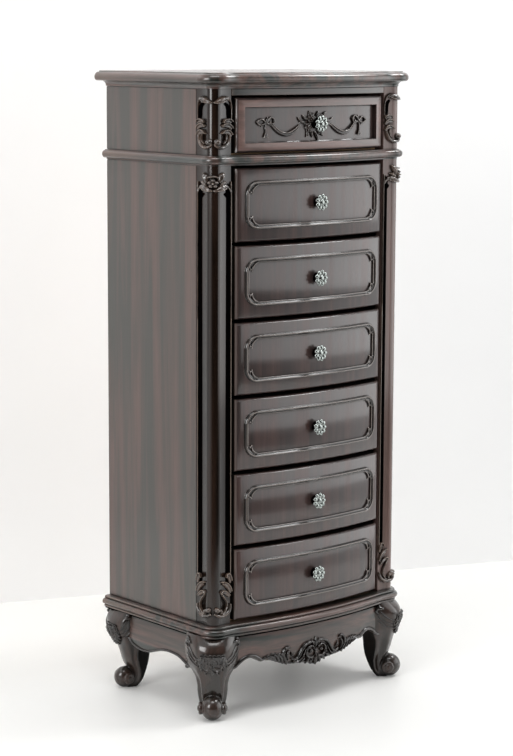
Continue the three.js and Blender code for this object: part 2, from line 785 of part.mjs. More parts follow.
// A carved frame round the column of a post, with two balls where its scrolls meet. Its back
// is cut to the post.
function cornerOrnament(side, low, high, flowerAt) {
  const place = onPost(side);
  const half = ORNAMENT_STRIP / 2;
  const middle = (low + high) / 2;
  const path = roundedRectangle(
    ORNAMENT_HALF_SPAN,
    (high - low) / 2 - half,
    ORNAMENT_CORNER,
    half,
    ORNAMENT_HEIGHT,
  );
  const raised = (a, b, h) => place(a, middle + b, h);
  let solid = solidOf(strip(raised, path, true, -ORNAMENT_ROOT));
  for (const s of [-ORNAMENT_BALL, ORNAMENT_BALL]) {
    const lift = low + half + ORNAMENT_BALL;
    solid = solid.add(ball(place, s, lift, ORNAMENT_BALL, 1));
  }
  if (flowerAt !== null) {
    const stretch = FLOWER_HALF_SPAN / FLOWER_HEIGHT;
    solid = solid.add(ball(place, 0, flowerAt, FLOWER_HEIGHT, stretch));
  }
  const cutter = prism(postOutline(side, FIT_GAP), low - FLOWER_HEIGHT, high + 2 * FLOWER_HEIGHT);
  return geometryOf(solid.subtract(solidOf(cutter)));
}

for (const { name, side } of hands) {
  const upperLow = waistTop + UPPER_ORNAMENT_BOTTOM_MARGIN;
  const upperHigh = corniceBottom - UPPER_ORNAMENT_MARGIN;
  addPiece(`upper_ornament_${name}`, cornerOrnament(side, upperLow, upperHigh, null), wood());
  const lowerLow = baseTop + LOWER_ORNAMENT_BOTTOM_MARGIN;
  const lowerHigh = waistBottom - LOWER_ORNAMENT_TOP_MARGIN;
  const flowerAt = lowerHigh + FLOWER_HEIGHT / 2;
  const lower = cornerOrnament(side, lowerLow, lowerHigh, flowerAt);
  addPiece(`lower_ornament_${name}`, lower, wood());
}

// Legs. Each is skinned over level sections, in a frame where +X points outwards from the
// chest's corner or side and the floor is z = 0. Rows hold shares: height of the leg, front
// and back of the section in leg depths from the corner, its greatest width, where that lies,
// the width of its back, and how square its front is.
const kneeHalf = EAR_LENGTH / Math.SQRT2;
const legDepth = (EAR_LENGTH + EAR_THICKNESS) / Math.SQRT2;
const ankleShare = ANKLE_HALF_WIDTH / kneeHalf;
const frontLegShares = [
  [0, -0.35, -0.62, 0.3, -0.48, 0.2, 2],
  [0.08, -0.3, -0.74, ankleShare * 0.75, -0.48, 0.3, 2],
  [0.2, -0.24, -0.82, ankleShare * 0.9, -0.48, 0.3, 2],
  [0.33, -0.12, -0.91, ankleShare, -0.48, 0.28, 2],
  [0.45, -0.04, -0.94, ankleShare * 1.05, -0.48, 0.3, 1.9],
  [0.54, 0.03, -0.95, ankleShare * 1.25, -0.5, 0.36, 1.8],
  [0.62, 0.11, -0.96, ankleShare * 1.5, -0.56, 0.46, 1.7],
  [0.7, 0.19, -0.98, 0.92, -0.66, 0.6, 1.6],
  [0.78, 0.235, -1, 0.985, -0.74, 0.7, 1.55],
  [0.86, 0.2, -1, 1, -0.773, 0.707, 1.5],
  [0.94, 0.06, -1, 1, -0.773, 0.707, 1.45],
  [1, -0.08, -1, 1, -0.773, 0.707, 1.4],
];
const backLegShares = [
  [0, -0.35, -0.62, 0.4, -0.48, 0.25, 2],
  [0.08, -0.3, -0.74, 0.55, -0.48, 0.38, 2],
  [0.2, -0.24, -0.82, 0.64, -0.48, 0.4, 2],
  [0.33, -0.12, -0.91, 0.69, -0.46, 0.4, 2],
  [0.45, -0.04, -0.94, 0.72, -0.42, 0.44, 2],
  [0.54, 0.05, -0.96, 0.78, -0.36, 0.56, 2.2],
  [0.62, 0.14, -0.98, 0.86, -0.28, 0.7, 2.5],
  [0.7, 0.22, -1, 0.94, -0.18, 0.86, 3],
  [0.78, 0.27, -1, 0.98, -0.1, 1, 3.4],
  [0.86, 0.27, -1, 1, -0.05, 1, 3.6],
  [0.94, 0.2, -1, 1, 0, 1, 3.6],
  [1, 0.1, -1, 1, 0, 1, 3.6],
];

function legSection(shares, halfWidth, grow) {
  const [, frontShare, backShare, widthShare, widestShare, backWidthShare, squareness] = shares;
  const front = frontShare * legDepth + grow;
  const back = backShare * legDepth - grow;
  const width = widthShare * halfWidth + grow;
  const widest = widestShare * legDepth;
  const backWidth = Math.min(backWidthShare * halfWidth + grow, width);
  const points = [];
  for (let step = 0; step <= LEG_FRONT_STEPS; step += 1) {
    const angle = -Math.PI / 2 + Math.PI * (step / LEG_FRONT_STEPS);
    const along = Math.abs(Math.cos(angle)) ** (2 / squareness);
    const across = Math.sign(Math.sin(angle)) * Math.abs(Math.sin(angle)) ** (2 / squareness);
    points.push([widest + (front - widest) * along, width * across]);
  }
  points.push([back, backWidth], [back, -backWidth]);
  return points;
}

function legSolid(table, halfWidth, grow) {
  const rings = table.map((shares) => {
    const level = shares[0];
    const z = level * LEG_HEIGHT + (level === 1 ? grow : 0);
    return legSection(shares, halfWidth, grow).map(([u, v]) => [u, v, z]);
  });
  const shaft = solidOf(stackedRings(rings));
  const bodyShare = 0.5;
  const outline = [
    [0, -1],
    [SCROLL_RADIUS * bodyShare, -1],
    [SCROLL_RADIUS * (1 + bodyShare) / 2, -bodyShare],
    [SCROLL_RADIUS, 0],
    [SCROLL_RADIUS * (1 + bodyShare) / 2, bodyShare],
    [SCROLL_RADIUS * bodyShare, 1],
    [0, 1],
  ];
  const half = Math.min(SCROLL_HALF_WIDTH, halfWidth);
  const scroll = new THREE.LatheGeometry(
    outline.map(([radius, share]) => new THREE.Vector2(radius, share * half)),
    SCROLL_SEGMENTS,
  );
  scroll.translate(-SCROLL_SETBACK, 0, SCROLL_RADIUS + SCROLL_LIFT);
  return shaft.add(solidOf(scroll));
}

const legs = [
  { name: 'front_left', table: frontLegShares, x: -caseHalf, y: 0, turn: -0.75 },
  { name: 'front_right', table: frontLegShares, x: caseHalf, y: 0, turn: -0.25 },
  { name: 'back_left', table: backLegShares, x: -caseHalf, y: CASE_DEPTH, turn: 1 },
  { name: 'back_right', table: backLegShares, x: caseHalf, y: CASE_DEPTH, turn: 0 },
];

for (const leg of legs) {
  const back = leg.table === backLegShares;
  leg.halfWidth = back ? BACK_LEG_HALF_WIDTH : kneeHalf;
  leg.place = [leg.x, back ? CASE_DEPTH - BACK_LEG_HALF_WIDTH : leg.y, 0];
  const geometry = geometryOf(legSolid(leg.table, leg.halfWidth, 0));
  const mesh = addPiece(`${leg.name}_leg`, geometry, wood(), leg.place);
  mesh.rotation.z = leg.turn * Math.PI;
}

// A leg with the fit gap round it, where the chest carries it, to scribe an apron to.
function legCutter(leg) {
  const degrees = leg.turn * 180;
  const grown = legSolid(leg.table, leg.halfWidth, FIT_GAP);
  return grown.rotate([0, 0, degrees]).translate(leg.place);
}

// An apron runs along stations of place and lower edge, with a face and a back at each.
function apron(stations, pointAt) {
  const rings = stations.map(([along, low]) => {
    return [
      pointAt(along, 0, low),
      pointAt(along, APRON_THICKNESS, low),
      pointAt(along, APRON_THICKNESS, LEG_HEIGHT),
      pointAt(along, 0, LEG_HEIGHT),
    ];
  });
  return solidOf(sweptRings(rings, false));
}

// Front apron: pairs of shares, along its half length and of its drop from the legs' top.
const frontApronShares = [
  [0, 1], [0.08, 0.96], [0.16, 0.93], [0.24, 0.91], [0.34, 0.88], [0.46, 0.84], [0.56, 0.75],
  [0.66, 0.7], [0.73, 0.715], [0.79, 0.66], [0.87, 0.6], [0.94, 0.62], [1, 0.69], [1.1, 0.9],
];
const frontApronHalf = caseHalf - EAR_LENGTH;
const frontStations = [];
for (const [share, drop] of frontApronShares) {
  frontStations.push([share * frontApronHalf, LEG_HEIGHT - drop * APRON_DROP]);
}
const mirrored = frontStations.slice(1).map(([along, low]) => [-along, low]).reverse();
let frontApron = apron([...mirrored, ...frontStations], (x, depth, z) => {
  return [x, -APRON_PROUD - bowAt(x) + depth, z];
});
frontApron = frontApron.subtract(legCutter(legs[0])).subtract(legCutter(legs[1]));
addPiece('front_apron', geometryOf(frontApron), wood());

// Side aprons: pairs of shares, along from the front leg's ear to the back leg, and of drop.
const sideApronShares = [
  [0, 1.02], [0.05, 0.98], [0.1, 0.9], [0.17, 0.83], [0.26, 0.79], [0.36, 0.79],
  [0.47, 0.83], [0.58, 0.92], [0.7, 1], [0.8, 1], [0.9, 0.95], [1, 0.84],
];
const sideApronStart = EAR_LENGTH;
const sideApronEnd = CASE_DEPTH - 2 * BACK_LEG_HALF_WIDTH;
const sideStations = [[sideApronStart - APRON_LAP, LEG_HEIGHT - SIDE_APRON_DROP]];
for (const [share, drop] of sideApronShares) {
  const along = sideApronStart + share * (sideApronEnd - sideApronStart);
  sideStations.push([along, LEG_HEIGHT - drop * SIDE_APRON_DROP]);
}
sideStations.push([sideApronEnd + APRON_LAP, LEG_HEIGHT - SIDE_APRON_DROP / 2]);

hands.forEach(({ name, side }, index) => {
  let sideApron = apron(sideStations, (y, depth, z) => {
    return [side * (caseHalf + APRON_PROUD - depth), y, z];
  });
  for (const leg of [legs[index], legs[index + 2]]) {
    sideApron = sideApron.subtract(legCutter(leg));
  }
  addPiece(`side_apron_${name}`, geometryOf(sideApron), wood());
});

// Plain back apron between the back legs.
const backApronHalf = caseHalf - legDepth - FIT_GAP;
addPiece(
  'back_apron',
  board(
    [-backApronHalf, CASE_DEPTH - BACK_APRON_THICKNESS, LEG_HEIGHT - BACK_APRON_HEIGHT],
    [backApronHalf, CASE_DEPTH, LEG_HEIGHT],
  ),
  wood(),
);

// The origin: the middle of the bounding box, whose front and back are the top board's.
const reachFront = BOW_RISE + TOP_OVERHANG;
const reachBack = CASE_DEPTH + TOP_BACK_OVERHANG;
chest.position.y = (reachFront - reachBack) / 2;

export default chest;
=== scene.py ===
# %% [markdown]
# # A dark bow-fronted semainier
# A semainier is a tall chest with seven drawers, one for each day of the week. This one stands on
# carved cabriole legs, has a round column on each front corner, and is stained nearly black.
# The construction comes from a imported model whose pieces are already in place. This notebook
# gives each visible piece its moulded or carved surface and its lacquer.

# %% Load the frame
import math

import bmesh
import bpy
import numpy as np
from mathutils import Matrix, Vector
from mathutils.bvhtree import BVHTree


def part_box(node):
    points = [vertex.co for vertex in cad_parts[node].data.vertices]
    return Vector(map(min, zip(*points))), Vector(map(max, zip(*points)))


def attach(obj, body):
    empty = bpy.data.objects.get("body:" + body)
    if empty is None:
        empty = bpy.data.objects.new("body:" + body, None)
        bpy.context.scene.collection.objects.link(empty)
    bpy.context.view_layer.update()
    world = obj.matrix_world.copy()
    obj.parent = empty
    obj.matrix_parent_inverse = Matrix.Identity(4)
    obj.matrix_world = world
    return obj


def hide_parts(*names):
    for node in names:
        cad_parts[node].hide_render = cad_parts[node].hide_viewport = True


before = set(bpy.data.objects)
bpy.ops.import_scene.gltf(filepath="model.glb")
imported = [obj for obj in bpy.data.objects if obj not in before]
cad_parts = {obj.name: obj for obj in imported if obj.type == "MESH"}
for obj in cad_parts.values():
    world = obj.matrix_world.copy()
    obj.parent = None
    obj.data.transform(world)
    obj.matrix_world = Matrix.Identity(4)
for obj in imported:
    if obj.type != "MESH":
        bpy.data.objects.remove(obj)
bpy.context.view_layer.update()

# %% [markdown]
# Cabinet makers think in millimetres, so all sizes below are in millimetres. In the chest's own
# plan, x runs to the right, y runs back from the front plane of the corner posts, and z is the
# height over the floor. The main sizes are read from the frame, so the looks follow the model.

# %% Sizes read from the frame
MM = 0.001
COLUMN_RADIUS = 17
COLUMN_PROUD = 1.6
posts_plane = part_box("lower_post_left")[0].y / MM + COLUMN_PROUD


def node_box(name):
    """Lowest and highest corner of a node, in the chest's plan."""
    shift = np.array([0, posts_plane, 0])
    low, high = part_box(name)
    return np.array(low) / MM - shift, np.array(high) / MM - shift


side_low, side_high = node_box("lower_side_right")
case_half, case_depth = side_high[0], side_high[1]
side_inner = side_low[0]
post_low, post_high = node_box("lower_post_right")
opening_half, post_depth = post_low[0], post_high[1]
leg_top = node_box("front_left_leg")[1][2]
back_panel_front = node_box("back_panel")[0][1]
BOW_RISE = 22.2
print("case half width", round(case_half, 1), "depth", round(case_depth, 1))

# %% [markdown]
# ## Camera
# The camera stands to the front left at eye height. Its place, lens and tilt were fitted to the
# corners of the chest in the photograph, with no shift and no depth of field.

# %% Camera
SENSOR = 36.0
PHOTO_HEIGHT = 756
FOCAL_PIXELS = 2169.15
EYE = (-2.9774, -3.4875, 1.3807)
YAW, PITCH, ROLL = -0.7058, -0.1539, 0.0042

camera_data = bpy.data.cameras.new("Camera")
camera_data.lens = FOCAL_PIXELS * SENSOR / PHOTO_HEIGHT
camera = bpy.data.objects.new("Camera", camera_data)
heading = Matrix.Rotation(YAW, 4, "Z") @ Matrix.Rotation(math.pi / 2 + PITCH, 4, "X")
camera.matrix_world = Matrix.Translation(EYE) @ heading @ Matrix.Rotation(ROLL, 4, "Z")
bpy.context.scene.collection.objects.link(camera)
bpy.context.scene.camera = camera
print("lens", round(camera_data.lens, 1), "mm")

# %% [markdown]
# ## Node helpers
# Materials and Geometry Nodes trees are both graphs of nodes. One helper fills a node's sockets,
# one adds a node with its options, and one starts a group with named sockets.

# %% Node helpers


def fill(tree, node, sockets):
    """Sets sockets to values, or links them to other sockets or to nodes' first outputs."""
    for socket, value in sockets.items():
        if isinstance(value, bpy.types.Node):
            value = value.outputs[0]
        if isinstance(value, bpy.types.NodeSocket):
            tree.links.new(value, node.inputs[socket])
        else:
            node.inputs[socket].default_value = value


def add_node(tree, kind, sockets=None, **settings):
    node = tree.nodes.new(kind)
    for name, value in settings.items():
        setattr(node, name, value)
    fill(tree, node, sockets or {})
    return node


def maths(tree, operation, first, second):
    return add_node(tree, "ShaderNodeMath", {0: first, 1: second}, operation=operation).outputs[0]


def new_group(name, kind, inputs, outputs):
    tree = bpy.data.node_groups.new(name, kind)
    for title, (socket_type, default) in inputs.items():
        socket = tree.interface.new_socket(title, in_out="INPUT", socket_type=socket_type)
        if default is not None:
            socket.default_value = default
    for title, socket_type in outputs.items():
        tree.interface.new_socket(title, in_out="OUTPUT", socket_type=socket_type)
    return tree, tree.nodes.new("NodeGroupInput"), tree.nodes.new("NodeGroupOutput")


FLOAT, VECTOR = "NodeSocketFloat", "NodeSocketVector"
GEOMETRY, INTEGER, MATERIAL = "NodeSocketGeometry", "NodeSocketInt", "NodeSocketMaterial"
print("helpers ready")

# %% [markdown]
# ## Finishes
# The wood is stained espresso brown and lacquered. Two effects are shared by all its materials,
# so each is a shader node group: the grain, which stretches noise along the board, and the
# darkening of recesses, part glaze and part painted shade, with the edges brightened, part wear
# and part painted highlight.

# %% Shared shader groups
grain, given, result = new_group(
    "Wood grain", "ShaderNodeTree",
    {"Vector": (VECTOR, None), "Stretch": (VECTOR, (45, 45, 2.5)), "Fibre": (FLOAT, 7.0)},
    {"Streaks": FLOAT, "Fibres": FLOAT, "Clouds": FLOAT},
)
place, stretch, fibre = (given.outputs[title] for title in ("Vector", "Stretch", "Fibre"))
broad = add_node(grain, "ShaderNodeVectorMath", {0: place, 1: stretch}, operation="MULTIPLY")
fine = add_node(grain, "ShaderNodeVectorMath", {0: broad, "Scale": fibre}, operation="SCALE")
NOISES = {
    "Streaks": {"Vector": broad, "Scale": 1.0, "Detail": 3.0, "Distortion": 0.4},
    "Fibres": {"Vector": fine, "Scale": 1.0, "Detail": 4.0, "Roughness": 0.6},
    "Clouds": {"Vector": place, "Scale": 5.0, "Detail": 2.0},
}
CONTRAST = {"From Min": 0.38, "From Max": 0.62}
for title, sockets in NOISES.items():
    noise = add_node(grain, "ShaderNodeTexNoise", sockets)
    mask = add_node(grain, "ShaderNodeMapRange", {"Value": noise, **CONTRAST})
    fill(grain, result, {title: mask})

EDGE_SPAN = 0.06
recess_and_edge, given, result = new_group(
    "Dark recesses and bright edges", "ShaderNodeTree",
    {"Distance": (FLOAT, 0.006), "Edge from": (FLOAT, 0.56)}, {"Recess": FLOAT, "Edge": FLOAT},
)
# Ambient occlusion finds the recesses; on the woods their darkening is part glaze, part painted
# shade.
shelter = add_node(
    recess_and_edge, "ShaderNodeAmbientOcclusion", {"Distance": given.outputs["Distance"]}, samples=8,
)
recess = add_node(
    recess_and_edge, "ShaderNodeMapRange",
    {"Value": shelter.outputs["AO"], "From Min": 0.25, "From Max": 0.85, "To Min": 1, "To Max": 0},
)
# Pointiness finds the edges; their brightening is part wear, part painted highlight.
edge_from = given.outputs["Edge from"]
edge_to = maths(recess_and_edge, "ADD", edge_from, EDGE_SPAN)
pointed = add_node(recess_and_edge, "ShaderNodeNewGeometry").outputs["Pointiness"]
edge = add_node(
    recess_and_edge, "ShaderNodeMapRange", {"Value": pointed, "From Min": edge_from, "From Max": edge_to},
)
fill(recess_and_edge, result, {"Recess": recess, "Edge": edge})
print("shader groups:", [group.name for group in (grain, recess_and_edge)])

# %% [markdown]
# A stained wood mixes a dark and a warm stain by the grain, brightens the edges with wear and
# painted highlight, darkens the recesses with glaze and painted shade, takes the lacquer out of
# them so that they reflect nothing, which is painted shade too, and gives the lacquer a faint
# unevenness. All of them come from one function. The grain runs along the board, so its stretch
# differs from wood to wood, and so do the four colours, the gloss, and the reach of the glaze and
# painted shade in metres.

# %% How a stained wood is made
FIBRE_DEPTH = 0.0004


def mixed(tree, factor, *colours):
    """A colour between two, by a factor."""
    first, second = ((*each, 1) if isinstance(each, tuple) else each for each in colours)
    sockets = {0: factor, 6: first, 7: second}
    return add_node(tree, "ShaderNodeMix", sockets, data_type="RGBA").outputs[2]


def scaled(tree, value, low, high):
    """A mask from 0 to 1 brought to a range from low to high."""
    node = add_node(tree, "ShaderNodeMapRange", {"Value": value, "To Min": low, "To Max": high})
    return node.outputs["Result"]


def start_material(name):
    material = bpy.data.materials.new(name)
    material.use_nodes = True
    tree = material.node_tree
    place = add_node(tree, "ShaderNodeTexCoord").outputs["Object"]
    return material, tree, tree.nodes["Principled BSDF"], place


def add_grain(tree, shader, place, stretch, rough, relief):
    """The grain's masks; its roughness and its bump are put on the shader."""
    sockets = {"Vector": place, "Stretch": stretch}
    figure = add_node(tree, "ShaderNodeGroup", sockets, node_tree=grain).outputs
    sockets = {"Height": figure["Fibres"], "Strength": relief, "Distance": FIBRE_DEPTH}
    bump = add_node(tree, "ShaderNodeBump", sockets)
    fill(tree, shader, {"Roughness": scaled(tree, figure["Clouds"], *rough), "Normal": bump})
    return figure


def add_recess_and_edge(tree, depth, edge_from=0.56):
    """The masks of the dark recesses and of the bright edges; on the woods the first is glaze and
    painted shade, the second wear and painted highlight.
    """
    sockets = {"Distance": depth, "Edge from": edge_from}
    return add_node(tree, "ShaderNodeGroup", sockets, node_tree=recess_and_edge).outputs


def stained_wood(
    name, stretch, rough, depth, dark, warm, glaze_and_shade, edge_wear_and_highlight,
    edge_from=0.56, sheen=0.25, haze=0.2, ior=1.5, lacquered=True,
):
    material, tree, shader, place = start_material(name)
    figure = add_grain(tree, shader, place, stretch, rough, relief=0.12)
    wear_and_light = add_recess_and_edge(tree, depth, edge_from)
    stain = mixed(tree, figure["Streaks"], dark, warm)
    stain = mixed(tree, scaled(tree, figure["Fibres"], 0, 0.35), stain, dark)
    # Edges take the colour of wear and painted highlight.
    stain = mixed(tree, wear_and_light["Edge"], stain, edge_wear_and_highlight)
    # Recesses take the colour of glaze and painted shade.
    stain = mixed(tree, wear_and_light["Recess"], stain, glaze_and_shade)
    fill(tree, shader, {
        "Base Color": stain, "Coat Roughness": haze, "Coat IOR": ior, "Specular IOR Level": sheen,
    })
    if lacquered:
        gloss = scaled(tree, figure["Streaks"], 1.0, 0.8)
        # The lacquer is left out of the recesses, so they reflect nothing there: painted shade.
        clear = maths(tree, "SUBTRACT", 1.0, wear_and_light["Recess"])
        fill(tree, shader, {"Coat Weight": maths(tree, "MULTIPLY", gloss, clear)})
    return material


print("one function for all the stained woods")

# %% [markdown]
# The boards are brown with streaks, the carvings nearly black with bright ridges, which are part
# wear and part painted highlight. The beads of the drawers take the brightest edges of all, mostly
# painted highlight. The wide faces of the sides and posts have few points, and the edge mask would
# spread over them, so they do without it. The posts are two copies of one wood with painted light:
# the left ones in shade, nearly black, the right ones in light, brown. The gaps round the drawers
# are a dull black of painted shade.

# %% The stained woods
UPRIGHT, ACROSS, DEEP = (45, 45, 2.5), (2.5, 45, 45), (45, 2.5, 45)
CARVED, LEG_GRAIN = (60, 60, 20), (60, 60, 8)
NO_EDGE = 1.0
THIN_GLAZE_AND_SHADE, GLAZE_AND_SHADE, BLACK = (0.002, 0.0015, 0.0015), (0.0008, 0.0007, 0.0006), (0.0012, 0.001, 0.001)
POST_GLAZE_AND_SHADE = (0.0006, 0.0005, 0.0005)
SHADE_DARK, SHADE_WARM = (0.005, 0.0045, 0.004), (0.012, 0.009, 0.007)
board_colours = {
    "dark": (0.014, 0.017, 0.014), "warm": (0.105, 0.058, 0.048), "glaze_and_shade": THIN_GLAZE_AND_SHADE,
    "edge_wear_and_highlight": (0.14, 0.1, 0.08),
}
carved_colours = {"dark": (0.006, 0.0048, 0.004), "warm": (0.018, 0.011, 0.0085), "glaze_and_shade": GLAZE_AND_SHADE}

side_wood = stained_wood(
    "Side wood", (36, 36, 1.6), (0.32, 0.4), 0.008, dark=(0.048, 0.045, 0.039),
    warm=(0.112, 0.072, 0.062), glaze_and_shade=THIN_GLAZE_AND_SHADE, edge_wear_and_highlight=(0.14, 0.1, 0.08), edge_from=NO_EDGE,
)
upright_wood = stained_wood(
    "Upright wood", UPRIGHT, (0.34, 0.42), 0.007, dark=(0.027, 0.018, 0.0165),
    warm=(0.064, 0.036, 0.032), glaze_and_shade=(0.0015, 0.001, 0.001), edge_wear_and_highlight=(0.14, 0.1, 0.085),
    haze=0.16, ior=1.55,
)
frame_wood = stained_wood(
    "Top drawer frame", (3, 45, 45), (0.3, 0.4), 0.01, dark=(0.09, 0.06, 0.053),
    warm=(0.19, 0.115, 0.1), glaze_and_shade=THIN_GLAZE_AND_SHADE, edge_wear_and_highlight=(0.24, 0.18, 0.16),
)
across_wood = stained_wood("Across wood", ACROSS, (0.3, 0.4), 0.006, **board_colours)
deep_wood = stained_wood("Front to back wood", DEEP, (0.3, 0.4), 0.006, **board_colours)
# On the carvings the bright edge colour is part wear and part painted highlight; on the beads and
# ornaments it is mostly painted highlight.
carved_wood = stained_wood(
    "Carved wood", CARVED, (0.18, 0.26), 0.0025, **carved_colours, edge_wear_and_highlight=(0.18, 0.135, 0.11),
    edge_from=0.55, sheen=0.3, haze=0.1,
)
bead_wood = stained_wood(
    "Bead wood", CARVED, (0.18, 0.26), 0.0025, **carved_colours, edge_wear_and_highlight=(0.5, 0.43, 0.39),
    edge_from=0.518, sheen=0.2, haze=0.1,
)
bronze_wood = stained_wood(
    "Ornament wood", CARVED, (0.16, 0.24), 0.003, dark=(0.03, 0.024, 0.02),
    warm=(0.1, 0.066, 0.05), glaze_and_shade=GLAZE_AND_SHADE, edge_wear_and_highlight=(0.34, 0.27, 0.22),
    edge_from=0.525, sheen=0.4, haze=0.1,
)
post_wood_in_shade = stained_wood(
    "Post wood in painted shade", UPRIGHT, (0.2, 0.26), 0.007, dark=(0.005, 0.0026, 0.0016),
    warm=(0.02, 0.0105, 0.007), glaze_and_shade=POST_GLAZE_AND_SHADE, edge_wear_and_highlight=(0.05, 0.03, 0.025),
    edge_from=NO_EDGE, sheen=0.05, haze=0.13,
)
post_wood_in_light = stained_wood(
    "Post wood in painted light", UPRIGHT, (0.24, 0.3), 0.007, dark=(0.11, 0.072, 0.062),
    warm=(0.19, 0.122, 0.108), glaze_and_shade=POST_GLAZE_AND_SHADE, edge_wear_and_highlight=(0.2, 0.13, 0.11),
    edge_from=NO_EDGE, sheen=0.1, haze=0.12,
)
leg_wood = stained_wood(
    "Leg wood", LEG_GRAIN, (0.24, 0.32), 0.018, dark=(0.02, 0.016, 0.0135),
    warm=(0.042, 0.025, 0.02), glaze_and_shade=GLAZE_AND_SHADE, edge_wear_and_highlight=(0.12, 0.085, 0.065),
    edge_from=0.53, sheen=0.15, haze=0.15,
)
# Black glaze that also stands in for painted shade: under the base moulding, on the dividers in the
# gaps, in the stems' hollows and on the knobs' necks.
black_glaze_and_shade = stained_wood(
    "Black glaze and painted shade", UPRIGHT, (0.6, 0.7), 0.006, dark=BLACK, warm=BLACK, glaze_and_shade=BLACK,
    edge_wear_and_highlight=BLACK, sheen=0.0, lacquered=False,
)
# A dull black painted for shade, behind the legs' rims and in the gaps round the drawers.
shade_black = stained_wood(
    "Painted shade in legs and gaps", LEG_GRAIN, (0.5, 0.6), 0.006, dark=SHADE_DARK, warm=SHADE_WARM,
    glaze_and_shade=SHADE_DARK, edge_wear_and_highlight=SHADE_WARM, sheen=0.1, lacquered=False,
)
print("stained woods:", len(bpy.data.materials))

# %% [markdown]
# The drawer boxes are of plain pale wood without stain or lacquer. The knobs are of old pewter:
# a mottled metal that is black in its recesses.

# %% Inner wood and pewter


def plain_wood():
    material, tree, shader, place = start_material("Inner wood")
    figure = add_grain(tree, shader, place, (3, 60, 60), (0.55, 0.7), relief=0.3)
    colour = mixed(tree, figure["Streaks"], (0.42, 0.27, 0.15), (0.55, 0.38, 0.22))
    colour = mixed(tree, scaled(tree, figure["Fibres"], 0, 0.5), colour, (0.3, 0.18, 0.1))
    fill(tree, shader, {"Base Color": colour})
    return material


def old_pewter():
    material, tree, shader, place = start_material("Old pewter")
    sockets = {"Vector": place, "Scale": 400.0, "Detail": 3.0}
    mottle = add_node(tree, "ShaderNodeTexNoise", sockets).outputs["Fac"]
    colour = mixed(tree, mottle, (0.2, 0.22, 0.21), (0.46, 0.5, 0.48))
    colour = mixed(tree, add_recess_and_edge(tree, 0.004)["Recess"], colour, (0.02, 0.022, 0.02))
    rough = scaled(tree, mottle, 0.16, 0.34)
    fill(tree, shader, {"Base Color": colour, "Roughness": rough, "Metallic": 1})
    return material


inner_wood = plain_wood()
pewter = old_pewter()
print("materials:", len(bpy.data.materials))

# %% [markdown]
# ## Mesh helpers
# Most boards and mouldings are skins over a row of rings: each ring is the same outline at
# another level or offset. A small set of functions works on arrays of points, because a whole
# ring can be moved or scaled in one step.

# %% Mesh helpers
CREASE_ANGLE = math.radians(34)
WELD = 0.01 * MM


def smooth_path(rows, steps):
    """Rows of numbers joined by a smooth curve through all of them."""
    rows = np.array(rows, float)
    ends = np.vstack([2 * rows[0] - rows[1], rows, 2 * rows[-1] - rows[-2]])
    return np.vstack([smooth_spans(ends, steps), rows[-1:]])


def smooth_loop(rows, steps):
    rows = np.array(rows, float)
    return smooth_spans(np.vstack([rows[-1:], rows, rows[:2]]), steps)


def smooth_spans(rows, steps):
    share = (np.arange(steps) / steps)[None, :, None]
    before, start, end, after = (rows[i : len(rows) - 3 + i, None, :] for i in range(4))
    curve = 2 * start + (end - before) * share
    curve = curve + (2 * before - 5 * start + 4 * end - after) * share**2
    curve = curve + (3 * start - before - 3 * end + after) * share**3
    return (curve / 2).reshape(-1, rows.shape[1])


def skin(rings):
    """Points and faces of a skin over rings of equal length, with flat ends."""
    rings = np.asarray(rings, float)
    count, size = rings.shape[:2]
    here = np.arange(count - 1)[:, None] * size
    there = here + size
    spot = np.arange(size)[None, :]
    after = (spot + 1) % size
    quads = np.stack([here + spot, here + after, there + after, there + spot], axis=-1)
    faces = quads.reshape(-1, 4).tolist()
    faces.append(list(range(size))[::-1])
    faces.append([(count - 1) * size + i for i in range(size)])
    return rings.reshape(-1, 3), faces


def merge(*parts):
    points, faces, start = [], [], 0
    for part_points, part_faces in parts:
        points.append(part_points)
        faces += [[start + i for i in face] for face in part_faces]
        start += len(part_points)
    return np.vstack(points), faces


print("skins ready")

# %% [markdown]
# A board is a box with softened edges, and a left-hand piece mirrors the right-hand one. The
# last function turns points and faces into a piece: it welds doubles, turns the faces outwards,
# marks sharp edges and puts the piece on its body.

# %% Boards, mirrors and pieces


def block(low, high, bevel=0.8):
    """A board with softened edges."""
    solid = bmesh.new()
    bmesh.ops.create_cube(solid, size=1)
    low, high = np.array(low, float), np.array(high, float)
    for vertex in solid.verts:
        vertex.co = Vector((low + high) / 2 + (high - low) * np.array(vertex.co))
    bmesh.ops.bevel(solid, geom=solid.edges[:], offset=bevel, segments=2, affect="EDGES")
    solid.verts.ensure_lookup_table()
    points = np.array([vertex.co for vertex in solid.verts])
    faces = [[vertex.index for vertex in face.verts] for face in solid.faces]
    solid.free()
    return points, faces


def wrapped(part, mapping):
    """A part whose points are moved by a mapping."""
    points, faces = part
    return mapping(points), faces


def mirrored(part):
    """A part for the other side of the chest."""
    points, faces = part
    return points * [-1, 1, 1], [face[::-1] for face in faces]


HANDS = {"right": lambda part: part, "left": mirrored}


